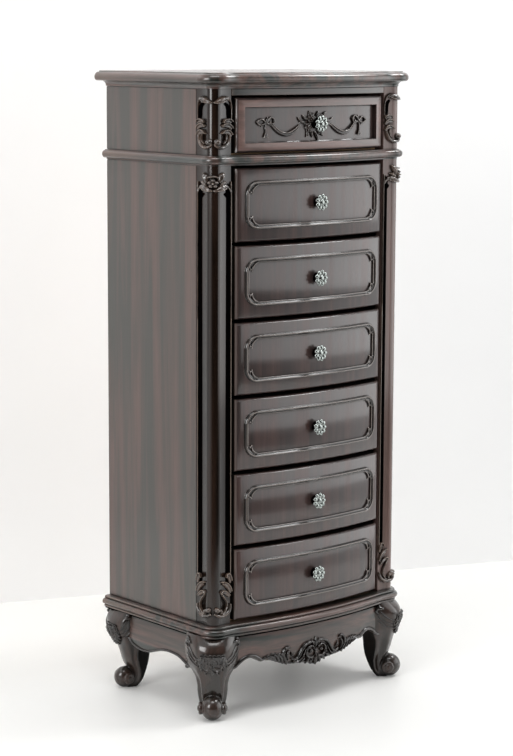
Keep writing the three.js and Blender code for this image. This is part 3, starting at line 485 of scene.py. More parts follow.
def add_piece(name, part, material, body, nodes=(), others=(), share=None):
    """A piece on its body; where it has other finishes, share numbers the finish of each face."""
    points, faces = part
    mesh = bpy.data.meshes.new(name)
    mesh.from_pydata(((points + [0, posts_plane, 0]) * MM).tolist(), [], faces)
    for finish in (material, *others):
        mesh.materials.append(finish)
    if others:
        mesh.polygons.foreach_set("material_index", np.asarray(share, dtype=np.int32))
    solid = bmesh.new()
    solid.from_mesh(mesh)
    bmesh.ops.remove_doubles(solid, verts=solid.verts, dist=WELD)
    bmesh.ops.recalc_face_normals(solid, faces=solid.faces)
    solid.to_mesh(mesh)
    solid.free()
    mesh.shade_smooth()
    mesh.set_sharp_from_angle(angle=CREASE_ANGLE)
    piece = bpy.data.objects.new(name, mesh)
    bpy.context.scene.collection.objects.link(piece)
    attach(piece, body)
    if nodes:
        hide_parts(*nodes)
    print(name, len(mesh.polygons), "faces")


# %% [markdown]
# ## Moulded boards
# The top, cornice, waist and base boards share one plan: straight sides, a corner that bulges
# over the column, and a bowed front. Each has its own edge profile. A spindle moulder would cut
# that profile all the way round, so the code offsets the plan outwards by the profile's reach at
# each level and skins the rings. The waist board is notched for the back panel.

# %% Plan of the boards
BOW_STEPS = 48
COLUMN_STEPS = 24
BASE_CORNER_RADIUS = 22
SLOT_GAP = 0.3


def bow(x):
    return BOW_RISE * np.maximum(0, 1 - (np.asarray(x) / opening_half) ** 2)


def corner_plan(offset, radius, proud):
    inset = radius - proud
    cusp = math.acos((inset + offset) / (radius + offset))
    angles = np.linspace(-cusp, math.pi / 2 + cusp, COLUMN_STEPS + 1)
    x = case_half - inset + (radius + offset) * np.cos(angles)
    y = inset - (radius + offset) * np.sin(angles)
    return np.column_stack([x, y])


def board_ring(offset, z, back, corner, notched):
    right = np.vstack([[case_half + offset, case_depth + back], corner_plan(offset, *corner)])
    x = np.linspace(opening_half, -opening_half, BOW_STEPS + 1)
    front = np.column_stack([x, -offset - bow(x)])
    left = (right * [-1, 1])[::-1]
    plan = [right, front, left]
    if notched:
        deep, shallow = case_depth + back, back_panel_front - SLOT_GAP
        plan.append(np.array([
            [-side_inner, deep], [-side_inner, shallow], [side_inner, shallow], [side_inner, deep],
        ]))
    plan = np.vstack(plan)
    return np.column_stack([plan, np.full(len(plan), z)])


COLUMN_CORNER = (COLUMN_RADIUS, COLUMN_PROUD)
ROUND_CORNER = (BASE_CORNER_RADIUS, 0)


def moulded_board(profile, bottom, back=0, corner=COLUMN_CORNER, notched=False):
    """A board whose edge follows a profile of pairs of reach and height."""
    return skin([board_ring(reach, bottom + z, back, corner, notched) for reach, z in profile])


def arc(centre, radii, start, end, steps=8):
    """Part of an ellipse as pairs of reach and height, by its angles in degrees."""
    angles = np.radians(np.linspace(start, end, steps + 1))
    reach = centre[0] + radii[0] * np.cos(angles)
    return list(zip(reach, centre[1] + radii[1] * np.sin(angles)))


print("plan has", len(board_ring(0, 0, 0, COLUMN_CORNER, False)), "points")

# %% [markdown]
# The top board has a thumbnail edge: a full nose low down, a rounding above it and a small step
# under the flat top. The cornice below it is a hollow. The waist board is a half round on a lip.
# The base board is a torus between a bead above and a bead below; it laps over the legs' tops.

# %% Top, cornice, waist and base boards
top_low, top_high = node_box("top_board")
cornice_low, cornice_high = node_box("cornice_board")
waist_low, waist_high = node_box("waist_board")
base_low, base_high = node_box("base_board")
GUIDE_HEIGHT = 12
waist_top = waist_high[2] - GUIDE_HEIGHT
base_top = base_high[2] - GUIDE_HEIGHT

top_thick = top_high[2] - top_low[2]
TOP_REACH = 23
top_profile = (
    [(TOP_REACH - 7, 0)]
    + arc((TOP_REACH - 5, 7.5), (5, 7), -80, 0, 6)
    + arc((TOP_REACH - 10.5, 7.5), (10.5, top_thick - 10), 8, 84, 9)
    + [(TOP_REACH - 11.2, top_thick - 2.3), (TOP_REACH - 11.8, top_thick - 1.9)]
    + arc((TOP_REACH - 13.4, top_thick - 1.3), (1.3, 1.3), 0, 90, 3)
)
add_piece(
    "top", moulded_board(top_profile, top_low[2], back=top_high[1] - case_depth),
    deep_wood, "case", ["top_board"],
)

cornice_thick = cornice_high[2] - cornice_low[2]
CORNICE_REACH = 13
LIP_REACH, LIP_HEIGHT = 1.2, 1.6
cornice_profile = [(0, 0), (LIP_REACH, 0.4)] + arc(
    (CORNICE_REACH, LIP_HEIGHT), (CORNICE_REACH - LIP_REACH, cornice_thick - LIP_HEIGHT), 180, 90,
)
add_piece(
    "cornice", moulded_board(cornice_profile, cornice_low[2]),
    deep_wood, "case", ["cornice_board"],
)

waist_thick = waist_top - waist_low[2]
waist_profile = (
    [(0, 0), (0.6, 0), (0.6, 2.6), (4.6, 3)]
    + arc((5, 3 + (waist_thick - 4.5) / 2), (7, (waist_thick - 4.5) / 2), -90, 90, 14)
    + [(4.4, waist_thick - 1.4), (4.2, waist_thick - 0.4), (3.6, waist_thick), (0, waist_thick)]
)
base_thick = base_top - base_low[2]
BASE_REACH = 19
BASE_DROP = 6
base_profile = (
    [(0, -BASE_DROP), (8, -BASE_DROP)]
    + arc((BASE_REACH - 7.6, 2.9 - BASE_DROP), (2.9, 2.9), -90, 64, 7)
    + [(BASE_REACH - 6.6, 0)]
    + arc((BASE_REACH - 7, 6.5), (7, 6.4), -72, 72, 12)
    + [(BASE_REACH - 6, 13)]
    + arc((BASE_REACH - 9, 15.8), (2.7, 2.7), -66, 90, 6)
    + [(BASE_REACH - 13, base_thick), (0, base_thick)]
)


def guides(board_top, seat=2):
    """Strips that a drawer box runs between."""
    tray_half = node_box("drawer_2_box")[1][0]
    low = [tray_half + 1.5, post_depth + SLOT_GAP, board_top - seat]
    high = [tray_half + 19.5, back_panel_front - SLOT_GAP, board_top + GUIDE_HEIGHT]
    strip = block(low, high)
    return merge(strip, mirrored(strip))


add_piece(
    "waist",
    merge(moulded_board(waist_profile, waist_low[2], notched=True), guides(waist_top)),
    deep_wood, "case", ["waist_board"],
)
add_piece(
    "base",
    merge(moulded_board(base_profile, base_low[2], corner=ROUND_CORNER), guides(base_top)),
    across_wood, "case", ["base_board"],
)
# A black band under the base moulding is painted shadow: the dark line under its overhang.
SHADOW_BAND_REACH, SHADOW_BAND_SLOPE = 11, 0.8
shadow_band_low, shadow_band_high = -BASE_DROP - 3, -BASE_DROP + 0.2
shadow_band = [
    (0, shadow_band_low), (SHADOW_BAND_REACH, shadow_band_low), (SHADOW_BAND_REACH + SHADOW_BAND_SLOPE, shadow_band_high),
    (0, shadow_band_high),
]
add_piece(
    "base_painted_shadow", moulded_board(shadow_band, base_low[2], corner=ROUND_CORNER), black_glaze_and_shade, "case",
)

# %% [markdown]
# ## Case
# The side panels are flat boards. The corner posts are one piece with their columns: a three
# quarter round that stands a little proud of both faces. A fine bevel on each joint catches the
# light, as on a real glued case.

# %% Corner posts and side panels
JOINT_BEVEL = 0.9


def post(low, high):
    soft = JOINT_BEVEL
    outline = np.vstack([
        [case_half - soft, post_depth],
        [case_half, post_depth - soft],
        corner_plan(0, *COLUMN_CORNER),
        [opening_half + soft, 0],
        [opening_half, soft],
        [opening_half, post_depth],
    ])
    return skin([np.column_stack([outline, np.full(len(outline), z)]) for z in (low, high)])


for stage in ("lower", "upper"):
    low, high = node_box(f"{stage}_post_right")
    upright = post(low[2], high[2])
    panel = block(*node_box(f"{stage}_side_right"), JOINT_BEVEL)
    for hand, turn in HANDS.items():
        # The right posts take the copy painted in light, the left ones the copy painted in shade.
        post_finish = post_wood_in_light if hand == "right" else post_wood_in_shade
        for kind, part, finish in (("post", upright, post_finish), ("side", panel, side_wood)):
            name = f"{stage}_{kind}_{hand}"
            add_piece(f"{name}_shaped", turn(part), finish, "case", [name])

# %% [markdown]
# ## Drawer fronts
# A drawer front is bowed in plan and flat in height, with a soft bevel all round. The top one has
# a sunk panel for its garland. Rings of a rectangle follow the bow, each with its own insets and
# height over the posts' plane. The bands that lie in the gap round a front are black: painted
# shade in the gap.

# %% Drawer fronts and top rail
FRONT_BACK = 17
FRONT_PROUD = 3
PANEL_RECESS = 9
PANEL_BORDER = (23, 19)
GAP_BANDS = 2
# Rows: inset from the ends, inset from the top and bottom, height over the posts' plane.
lower_rows = [(3.4, 1.7, -3), (3.8, 2.1, -1.4), (7, 5.2, 2.5), (8, 6.1, FRONT_PROUD)]
framed_rows = [(3.4, 0.6, -3), (3.8, 1.0, -1.4), (7, 4.4, 2.5), (8, 5.3, FRONT_PROUD)]
BORDER_BAND = len(framed_rows)
for inset, sunk in ((0, 0), (0.6, 0.6), (1.4, PANEL_RECESS - 0.8), (2.4, PANEL_RECESS)):
    framed_rows.append((PANEL_BORDER[0] + inset, PANEL_BORDER[1] + inset, FRONT_PROUD - sunk))


def bowed_front(half, low, high, rows):
    across = np.linspace(-1, 1, BOW_STEPS + 1)
    rings = []
    for inset_a, inset_b, proud in [(*rows[0][:2], None), *rows]:
        x = (half - inset_a) * across
        y = np.full(len(x), float(FRONT_BACK)) if proud is None else -proud - bow(x)
        bottom = np.column_stack([x, y, np.full(len(x), low + inset_b)])
        top = np.column_stack([x, y, np.full(len(x), high - inset_b)])
        rings.append(np.vstack([bottom, top[::-1]]))
    points, faces = skin(rings)
    faces = faces[:-2]
    size = len(rings[0])
    for start in (0, (len(rings) - 1) * size):
        for i in range(BOW_STEPS):
            faces.append([start + k for k in (i, i + 1, size - 2 - i, size - 1 - i)])
    return points, faces


for number in range(1, 8):
    body = f"drawer_{number}"
    low, high = node_box(f"{body}_front")
    framed = number == 1
    front = bowed_front(high[0], low[2], high[2], framed_rows if framed else lower_rows)
    # The bands in the gap take the black of painted shade.
    band = np.arange(len(front[1])) // (2 * (BOW_STEPS + 1))
    on_border = framed * (band == BORDER_BAND)
    add_piece(
        f"{body}_face", front, upright_wood, body, [f"{body}_front"],
        others=[shade_black, frame_wood] if framed else [shade_black],
        share=(band < GAP_BANDS) + 2 * on_border,
    )
low, high = node_box("top_rail")
rail = bowed_front(high[0], low[2], high[2], [(0, 0, -0.8), (0.8, 0.8, 0)])
add_piece("top_rail_shaped", rail, across_wood, "case", ["top_rail"])

# %% [markdown]
# ## Carving on the bench
# The applied ornaments are carved flat and then bent round the chest. A carving here is a set of
# strokes and beads on a flat plan: a across, b up, h off the surface. Each stroke is a ridge with
# its own width and height at each point, and tapers to a leaf tip or swells to a scroll. One
# Geometry Nodes tree sweeps a round section along all strokes, sets a ball on each bead and
# flattens the undersides. A voxel remesh then fuses them and a little smoothing softens them,
# as lacquer does.

# %% Geometry Nodes tree for carved relief
relief, given, result = new_group(
    "Carved relief", "GeometryNodeTree",
    {
        "Geometry": (GEOMETRY, None), "Section sides": (INTEGER, 14),
        "Bead segments": (INTEGER, 20), "Root depth": (FLOAT, 1.0), "Finish": (MATERIAL, None),
    },
    {"Geometry": GEOMETRY},
)


def attribute(tree, name):
    sockets = {"Name": name}
    return add_node(tree, "GeometryNodeInputNamedAttribute", sockets).outputs["Attribute"]


def with_height(tree, geometry, new_height):
    """Geometry whose points take a height worked out from their own."""
    spot = add_node(tree, "GeometryNodeInputPosition")
    x, y, z = add_node(tree, "ShaderNodeSeparateXYZ", {0: spot}).outputs
    moved = add_node(tree, "ShaderNodeCombineXYZ", {"X": x, "Y": y, "Z": new_height(z)})
    return add_node(tree, "GeometryNodeSetPosition", {"Geometry": geometry, "Position": moved})


def made_real(tree, *parts):
    """Parts joined, with their instances made real."""
    joined = add_node(tree, "GeometryNodeJoinGeometry")
    for part in parts:
        fill(tree, joined, {0: part})
    return add_node(tree, "GeometryNodeRealizeInstances", {"Geometry": joined})


def end_tree(tree, geometry, given, result):
    sockets = {"Geometry": geometry, "Material": given.outputs["Finish"]}
    fill(tree, result, {"Geometry": add_node(tree, "GeometryNodeSetMaterial", sockets)})


print("tree helpers ready")

# %% [markdown]
# In the tree, the lines become ridges and the beads become balls. Both are given their heights,
# and what would lie deeper than the root is lifted to it, so the underside is flat.

# %% Strokes and beads in the tree
flat_plan = given.outputs["Geometry"]
half_width, height, bead = (attribute(relief, name) for name in ("half_width", "height", "bead"))
lines = add_node(relief, "GeometryNodeMeshToCurve", {"Mesh": flat_plan})
section = add_node(
    relief, "GeometryNodeCurvePrimitiveCircle",
    {"Resolution": given.outputs["Section sides"], "Radius": 1.0},
)
ridges = add_node(
    relief, "GeometryNodeCurveToMesh",
    {"Curve": lines, "Profile Curve": section, "Scale": half_width, "Fill Caps": True},
)
steepness = maths(relief, "DIVIDE", height, half_width)
ridges = with_height(relief, ridges, lambda z: maths(relief, "MULTIPLY", z, steepness))
ball = add_node(
    relief, "GeometryNodeMeshUVSphere",
    {"Segments": given.outputs["Bead segments"], "Rings": 12, "Radius": 1.0},
)
bead_size = add_node(relief, "ShaderNodeCombineXYZ", {"X": bead, "Y": bead, "Z": height})
is_bead = add_node(relief, "FunctionNodeCompare", {0: bead, 1: 0.0}, operation="GREATER_THAN")
balls = add_node(
    relief, "GeometryNodeInstanceOnPoints",
    {"Points": flat_plan, "Selection": is_bead, "Instance": ball, "Scale": bead_size},
)
root = maths(relief, "MULTIPLY", given.outputs["Root depth"], -1.0)
real = made_real(relief, balls, ridges)
flat = with_height(relief, real, lambda z: maths(relief, "MAXIMUM", z, root))
end_tree(relief, flat, given, result)
print("relief tree has", len(relief.nodes), "nodes")

# %% [markdown]
# A mesh is put on a holder object with its modifiers, the result is read back as arrays, and the
# holder is removed. What comes out is a plain mesh, which the export needs.

# %% Modifiers on the bench
STROKE_STEPS = 6


def run_modifiers(mesh, setup):
    """The arrays of a mesh after the modifiers that setup puts on it."""
    holder = bpy.data.objects.new("bench", mesh)
    bpy.context.scene.collection.objects.link(holder)
    setup(holder)
    graph = bpy.context.evaluated_depsgraph_get()
    baked = bpy.data.meshes.new_from_object(holder.evaluated_get(graph))
    bpy.data.objects.remove(holder)
    points = np.zeros(len(baked.vertices) * 3)
    baked.vertices.foreach_get("co", points)
    faces = [list(face.vertices) for face in baked.polygons]
    return points.reshape(-1, 3), faces


def soften(holder, voxel, smoothing):
    fuse = holder.modifiers.new("fuse", "REMESH")
    fuse.mode = "VOXEL"
    fuse.voxel_size = voxel
    if smoothing:
        relax = holder.modifiers.new("relax", "SMOOTH")
        relax.factor = 0.5
        relax.iterations = smoothing


def use_tree(holder, tree, values):
    modifier = holder.modifiers.new(tree.name, "NODES")
    modifier.node_group = tree
    for item in tree.interface.items_tree:
        if item.in_out == "INPUT" and item.name in values:
            modifier[item.identifier] = values[item.name]


print("modifiers ready")

# %% [markdown]
# A carving collects its strokes and beads in plain lists. Its last method gives them to the tree,
# adds the remesh and the smoothing as modifiers, and reads back the finished arrays.

# %% A carving


class Carving:
    """Strokes and beads on a flat plan, in millimetres."""

    def __init__(self, mirror=False):
        self.signs = (1, -1) if mirror else (1,)
        self.points = []
        self.edges = []
        self.values = []

    def stroke(self, *rows):
        """A ridge through rows of a, b, half width and height."""
        line = smooth_path(rows, STROKE_STEPS)
        for sign in self.signs:
            start = len(self.points)
            for a, b, half, height in line:
                self.points.append((sign * a, b, 0))
                self.values.append((max(half, 0.15), max(height, 0.15), 0))
            self.edges += [(start + i, start + i + 1) for i in range(len(line) - 1)]

    def bead(self, a, b, radius, height):
        for sign in self.signs:
            self.points.append((sign * a, b, 0))
            self.values.append((1, height, radius))

    def finish(self, voxel=0.8, smoothing=2, root=1.0):
        mesh = bpy.data.meshes.new("strokes")
        mesh.from_pydata(self.points, self.edges, [])
        for name, column in zip(("half_width", "height", "bead"), zip(*self.values)):
            layer = mesh.attributes.new(name, "FLOAT", "POINT")
            layer.data.foreach_set("value", column)

        def setup(holder):
            use_tree(holder, relief, {"Root depth": root})
            if voxel:
                soften(holder, voxel, smoothing)

        return run_modifiers(mesh, setup)


print("bench ready")

# %% [markdown]
# ## Mouldings on the lower drawers
# Each lower front carries an oblong frame: a round bead with a thin inner bead, rounded corners,
# and a small leaf that hooks in at every corner. The path is a rounded rectangle; only the three
# parallel beads and the leaves are carved, then the whole bends along the bow.

# %% Drawer mouldings
CARTOUCHE_HALF = (176.5, 44.8)
CARTOUCHE_RADIUS = 25


def rounded_path(half_a, half_b, radius, half_width, height, steps=10, span=24):
    """A closed rounded rectangle as rows for a stroke."""
    rows = []
    for turn, (sign_a, sign_b) in enumerate(((1, 1), (-1, 1), (-1, -1), (1, -1))):
        angles = math.pi / 2 * (turn + np.linspace(0, 1, steps + 1))
        a = sign_a * (half_a - radius) + radius * np.cos(angles)
        b = sign_b * (half_b - radius) + radius * np.sin(angles)
        rows += [(x, z, half_width, height) for x, z in zip(a, b)]
        if turn % 2 == 0:
            for x in np.linspace(a[-1], -a[-1], span + 1)[1:-1]:
                rows.append((x, b[-1], half_width, height))
    rows.append(rows[0])
    return rows


def on_front(body, proud):
    """A mapping that lays flat places on a drawer's bowed face."""
    low, high = node_box(f"{body}_front")

    def mapping(flat):
        a, b, h = flat.T
        return np.column_stack([a, -proud - bow(a) - h, (low[2] + high[2]) / 2 + b])

    return mapping


CARTOUCHE_BEADS = ((0, 4.8, 2.2), (1, 3.1, 6.8), (-4, 1.3, 4))
CORNER_LEAF = [
    (146, 41, 0.6, 2), (152, 39.6, 1.9, 4), (158.5, 36.4, 2.6, 4.8), (162.6, 31, 2.4, 4.6),
    (164, 25, 1.4, 3.6), (162.4, 21.6, 0.8, 2.4),
]
CORNER_HOOK = [
    (160, 41.5, 0.8, 3), (167, 37.5, 2.2, 4.6), (170.2, 31, 2.2, 4.6), (168, 25.6, 1.8, 4.2),
    (164.8, 26.4, 1.4, 3.4),
]
cartouche = Carving()
for reach, half, height in CARTOUCHE_BEADS:
    half_a, half_b = (size + reach for size in CARTOUCHE_HALF)
    cartouche.stroke(*rounded_path(half_a, half_b, CARTOUCHE_RADIUS + reach, half, height))
for sign_a, sign_b in ((-1, -1), (-1, 1), (1, -1), (1, 1)):
    for rows in (CORNER_LEAF, CORNER_HOOK):
        cartouche.stroke(*[(sign_a * a, sign_b * b, w, h) for a, b, w, h in rows])
cartouche_part = cartouche.finish(voxel=1.0, smoothing=1)
for number in range(2, 8):
    body = f"drawer_{number}"
    part = wrapped(cartouche_part, on_front(body, FRONT_PROUD))
    add_piece(f"{body}_frame", part, bead_wood, body, [f"{body}_moulding"])

# %% [markdown]
# ## Knobs
# Each knob is a cast pewter rosette, nine petals round a button, on a turned black neck. The neck
# and the dish are turned, which in mesh terms is a profile spun round an axis. The petals repeat,
# so a second Geometry Nodes tree sets one petal on each point of a circle and turns it outwards.

# %% Rosette tree
PETAL_LEVEL = 14.6
rosette, given, result = new_group(
    "Rosette", "GeometryNodeTree",
    {
        "Geometry": (GEOMETRY, None), "Petals": (INTEGER, 9), "Circle": (FLOAT, 11.6),
        "Petal size": (VECTOR, (5.8, 4.7, 3.6)), "Level": (FLOAT, PETAL_LEVEL),
        "Finish": (MATERIAL, None),
    },
    {"Geometry": GEOMETRY},
)
circle = add_node(
    rosette, "GeometryNodeMeshCircle",
    {"Vertices": given.outputs["Petals"], "Radius": given.outputs["Circle"]},
)
petal = add_node(rosette, "GeometryNodeMeshUVSphere", {"Segments": 20, "Rings": 12, "Radius": 1.0})
outwards = add_node(
    rosette, "FunctionNodeAlignRotationToVector",
    {"Vector": add_node(rosette, "GeometryNodeInputPosition")}, axis="X",
)
petals = add_node(
    rosette, "GeometryNodeInstanceOnPoints",
    {
        "Points": circle, "Instance": petal, "Rotation": outwards,
        "Scale": given.outputs["Petal size"],
    },
)
lift = add_node(rosette, "ShaderNodeCombineXYZ", {"Z": given.outputs["Level"]})
lifted = add_node(rosette, "GeometryNodeTransform", {"Geometry": petals, "Translation": lift})
end_tree(rosette, made_real(rosette, lifted, given.outputs["Geometry"]), given, result)
print("rosette tree has", len(rosette.nodes), "nodes")

# %% [markdown]
# The dish, the crown and the neck are profiles of radius and height. The top drawer's knob
# stands higher than the others, because its neck passes through the bouquet.

# %% Turned parts and knobs


def turned(profile, segments=40):
    """A profile of radius and height spun round the h axis."""
    angles = np.linspace(0, 2 * math.pi, segments, endpoint=False)
    rings = [
        np.column_stack([r * np.cos(angles), r * np.sin(angles), np.full(segments, z)])
        for r, z in profile
    ]
    return skin(rings)


def as_mesh(part):
    mesh = bpy.data.meshes.new("part")
    mesh.from_pydata(part[0].tolist(), [], part[1])
    return mesh


KNOB_VOXEL = 0.45
DISH = [(6.2, 8), (8, 10.5), (12, 12.2), (13.6, 13), (13.4, 13.8), (11, 14)]
CROWN = [(7.2, 13.6), (6.6, 14.4), (6, 16.6), (4.4, 18.2), (2, 19), (0.01, 19)]
NECK_FOOT = [(9.6, -0.5), (10, 1), (10.2, 5)]
NECK_TOP = [(9.4, 8.2), (7.4, 9.6)]
BOUQUET_HEIGHT = 6


def longer(profile, extra):
    return [(r, z + extra) for r, z in profile]


def knob(extra):
    """A rosette raised by the extra height, to sit on a longer neck."""
    def setup(holder):
        use_tree(holder, rosette, {"Level": PETAL_LEVEL + extra})
        soften(holder, KNOB_VOXEL, 2)

    return run_modifiers(as_mesh(turned(longer(DISH + CROWN, extra))), setup)


for number in range(1, 8):
    body = f"drawer_{number}"
    extra, sunk = (BOUQUET_HEIGHT, PANEL_RECESS) if number == 1 else (0, 0)
    mapping = on_front(body, FRONT_PROUD - sunk)
    part = wrapped(knob(extra), mapping)
    add_piece(f"{body}_rosette", part, pewter, body, [f"{body}_knob"])
    # The neck's black is partly its own glaze and partly painted shade under the rosette.
    neck = turned(NECK_FOOT + longer(NECK_TOP, extra))
    add_piece(f"{body}_neck", wrapped(neck, mapping), black_glaze_and_shade, body)

# %% [markdown]
# ## Garland on the top drawer
# A bouquet of four roses and leaves surrounds the top knob. From it a ribbed swag hangs on each
# side to a ribbon bow with a tassel. A rose is two rings of round beads with one in the middle;
# leaves and ribbons are strokes that taper.

# %% Leaf and rose


def leaf(carving, root, tip, width, height, bend=0.0):
    """A leaf from its root to its tip, with a thin vein; bend moves its middle sideways."""
    root, tip = np.array(root, float), np.array(tip, float)
    along = tip - root
    side = np.array([-along[1], along[0]]) * bend
    shares = (0, 0.2, 0.5, 0.8, 1)
    widths = (0.35, 0.8, 1, 0.6, 0.08)
    rows = []
    for share, wide in zip(shares, widths):
        spot = root + along * share + side * math.sin(math.pi * share)
        rows.append((*spot, width * wide, height * (0.55 + 0.45 * wide)))
    carving.stroke(*rows)


def rose(carving, a, b, radius, height):
    for ring, petals in ((1.0, 6), (0.55, 4)):
        for petal in range(petals):
            turn = 2 * math.pi * (petal + ring) / petals
            reach = radius * ring * 0.62
            spot = (a + reach * math.cos(turn), b + reach * math.sin(turn))
            carving.bead(*spot, radius * 0.36, height * (1.25 - 0.45 * ring))
    carving.bead(a, b, radius * 0.26, height * 1.15)


print("leaf and rose ready")

# %% [markdown]
# The bouquet is drawn as it lies, leaf by leaf. The swags, bows and tassels are the same on both
# sides, so a mirrored carving draws them once.

# %% Bouquet, swags, bows and tassels
ROSES = [(-12, 12, 12, 6.5), (-19, -8, 11, 6), (12, -13, 10, 5.5), (13, 11, 11, 5.5)]
LEAVES = [
    ((-2, 12), (6, 26), 4.2, 6, -0.12), ((-12, 18), (-18, 27), 3.4, 5, 0.15),
    ((-22, 10), (-36, 19), 3.2, 5.5, 0.2), ((-26, 4), (-49, 15), 3.4, 5.5, 0.18),
    ((-26, -2), (-44, 3), 3.2, 5, -0.15), ((-24, -14), (-26, -27), 3.6, 5.5, 0.2),
    ((-4, -16), (5, -34), 4.2, 6, 0.1), ((-10, -14), (-9, -28), 3.2, 5, -0.1),
    ((12, -14), (22, -25), 3.4, 5, -0.12), ((20, 14), (30, 24), 3.2, 5, 0.15),
    ((24, 6), (48, 13), 3.2, 5.5, -0.15), ((24, -2), (44, -5), 3.2, 5, 0.15),
]
garland = Carving()
for row in ROSES:
    rose(garland, *row)
for row in LEAVES:
    leaf(garland, *row)
sides = Carving(mirror=True)
sides.stroke(
    (42, -3, 1.6, 4), (52, -11, 2.8, 5.5), (66, -18.5, 3.6, 6.5), (80, -20.8, 3.8, 6.8),
    (95, -16.5, 3.4, 6.3), (108, -7, 2.6, 5.5), (119, 4, 1.6, 4.5),
)
sides.stroke(
    (44, -1, 1, 4), (55, -8, 1.5, 6.5), (68, -14.5, 1.8, 7.6), (80, -17, 1.9, 8),
    (94, -13.4, 1.8, 7.4), (106, -4.4, 1.4, 6), (117, 6, 1, 4.5),
)
for reach, rise in ((-19, 9), (22, 4)):
    sides.stroke(
        (126, 4, 1.4, 5), (126 + reach * 0.5, 9 + rise * 0.6, 2.1, 5),
        (126 + reach, 4 + rise * 0.6, 2.4, 5.5), (126 + reach * 0.7, 0, 2.1, 4.6),
        (126, 3, 1.4, 4.5),
    )
leaf(sides, (126, 6), (124, 16), 3.2, 5.5, 0.1)
leaf(sides, (126, 4), (138, -5), 2.4, 4, 0.1)
leaf(sides, (126, 4), (114, -4), 2.4, 4, -0.1)
sides.bead(126, 4.5, 4, 6.5)
sides.stroke((127, 1, 1.8, 4), (128.4, -7, 2.2, 4.6), (128, -14, 1.8, 4.6), (128, -16, 2.6, 5))
sides.stroke((128, -16, 2, 5), (128, -20, 3.6, 5.5), (128, -24, 5, 5))
for fan in (-4, 0, 4):
    sides.stroke((128 + fan * 0.4, -17, 1, 5.6), (128 + fan, -25.5, 1.4, 5.4))

part = merge(*[carving.finish(voxel=0.7, smoothing=1) for carving in (garland, sides)])
part = wrapped(part, on_front("drawer_1", FRONT_PROUD - PANEL_RECESS))
add_piece("garland", part, bead_wood, "drawer_1", ["drawer_1_garland"])

# %% [markdown]
# ## Ornaments on the corner posts
# The ornaments wrap round the columns. Long stems run down both sides of each column; they are
# nearly black, glaze and painted shade, with a thin bright bead along the outside. They hook over
# at the top into leaf tips and turn at the bottom into scrolls that end in a ball. Everything is
# laid out flat, with a measured round the corner from the middle of the column, and is bent round
# the post at the end.

# %% Bending round a post
column_inset = COLUMN_RADIUS - COLUMN_PROUD
column_cusp = math.acos(column_inset / COLUMN_RADIUS)
column_arc = COLUMN_RADIUS * (math.pi / 4 + column_cusp)
column_chord = COLUMN_RADIUS * math.sin(column_cusp)


def on_post(flat):
    """Flat places bent round the right front post: a is positive to the front."""
    a, b, h = flat.T
    middle = case_half - column_inset
    turn = math.pi / 4 + a / COLUMN_RADIUS
    reach = column_chord + np.abs(a) - column_arc
    round_x = middle + (COLUMN_RADIUS + h) * np.cos(turn)
    round_y = column_inset - (COLUMN_RADIUS + h) * np.sin(turn)
    flat_x = np.where(a > 0, middle - reach, case_half + h)
    flat_y = np.where(a > 0, -h, column_inset + reach)
    on_column = np.abs(a) <= column_arc
    return np.column_stack([
        np.where(on_column, round_x, flat_x), np.where(on_column, round_y, flat_y), b,
    ])


print("column arc", round(column_arc, 1), "mm each way")

# %% [markdown]
# Stems are two strokes: a wide low one in black, glaze and painted shade in the hollow beside the
# column, and a thin bead outside it. The leaves at the lower end of each stem overlap like scales,
# and the balls sit in the scrolls.

# %% Stems and leaves of the posts
LOWER_ORNAMENT_TOP = 1121
STEM = 37.5
STEM_BEAD = 44.2


def stem(low, high):
    """The black strip of a stem on both sides of the column: glaze and painted shade in its hollow.
    """
    carving = Carving(mirror=True)
    carving.stroke(
        (STEM + 1, low, 4.5, 1.6), (STEM, low + 8, 5.6, 2), (STEM, (low + high) / 2, 5.6, 2),
        (STEM, high - 14, 5.4, 2), (STEM - 3, high - 5, 4.6, 2), (STEM - 9, high, 3, 2),
    )
    return carving.finish(voxel=0, root=0.5)


def stem_bead(carving, low, high):
    carving.stroke(
        (STEM_BEAD, low, 0.8, 2.6), (STEM_BEAD, low + 10, 1.1, 3.2),
        (STEM_BEAD, (low + high) / 2, 1.1, 3.2), (STEM_BEAD - 0.2, high - 18, 1.3, 3.6),
        (STEM_BEAD - 2.6, high - 7, 1.6, 4.4), (STEM_BEAD - 8, high, 2, 5.6),
        (STEM_BEAD - 15, high + 3, 2.2, 6.4), (STEM_BEAD - 24, high + 2.5, 1.6, 6.6),
    )


def hook_leaf(carving, high):
    """The twisted leaf that ends a stem at the middle of the column."""
    carving.stroke(
        (35, high - 2, 3, 6), (27, high + 0.6, 5, 8.4), (17, high - 1.6, 5.6, 9),
        (8, high - 6, 4.2, 8), (1, high - 8, 1.8, 6),
    )
    carving.stroke(
        (30, high - 4, 1.2, 7), (19, high - 6, 1.6, 10), (9, high - 8.6, 1.5, 9.2),
        (2, high - 9, 0.9, 6.6),
    )


SCALE_HEIGHT = 5.0


def scale_leaf(carving, half, rim, body):
    """A leaf of the stem: a low body under a thin bright rim."""
    shares = (0.75, 1.0, 1.0, 0.5)
    carving.stroke(*[
        (*spot, half * share, SCALE_HEIGHT * (0.6 + 0.4 * share))
        for spot, share in zip(body, shares)
    ])
    rim_halves = (0.9, 1.5, 1.7, 1.3, 0.7)
    carving.stroke(*[(*spot, wide, SCALE_HEIGHT + 2.2) for spot, wide in zip(rim, rim_halves)])


print("stems and leaves ready")

# %% [markdown]
# The upper ornament is short. Three leaves overlap on each side, and a scroll with a ball turns
# in at the foot.

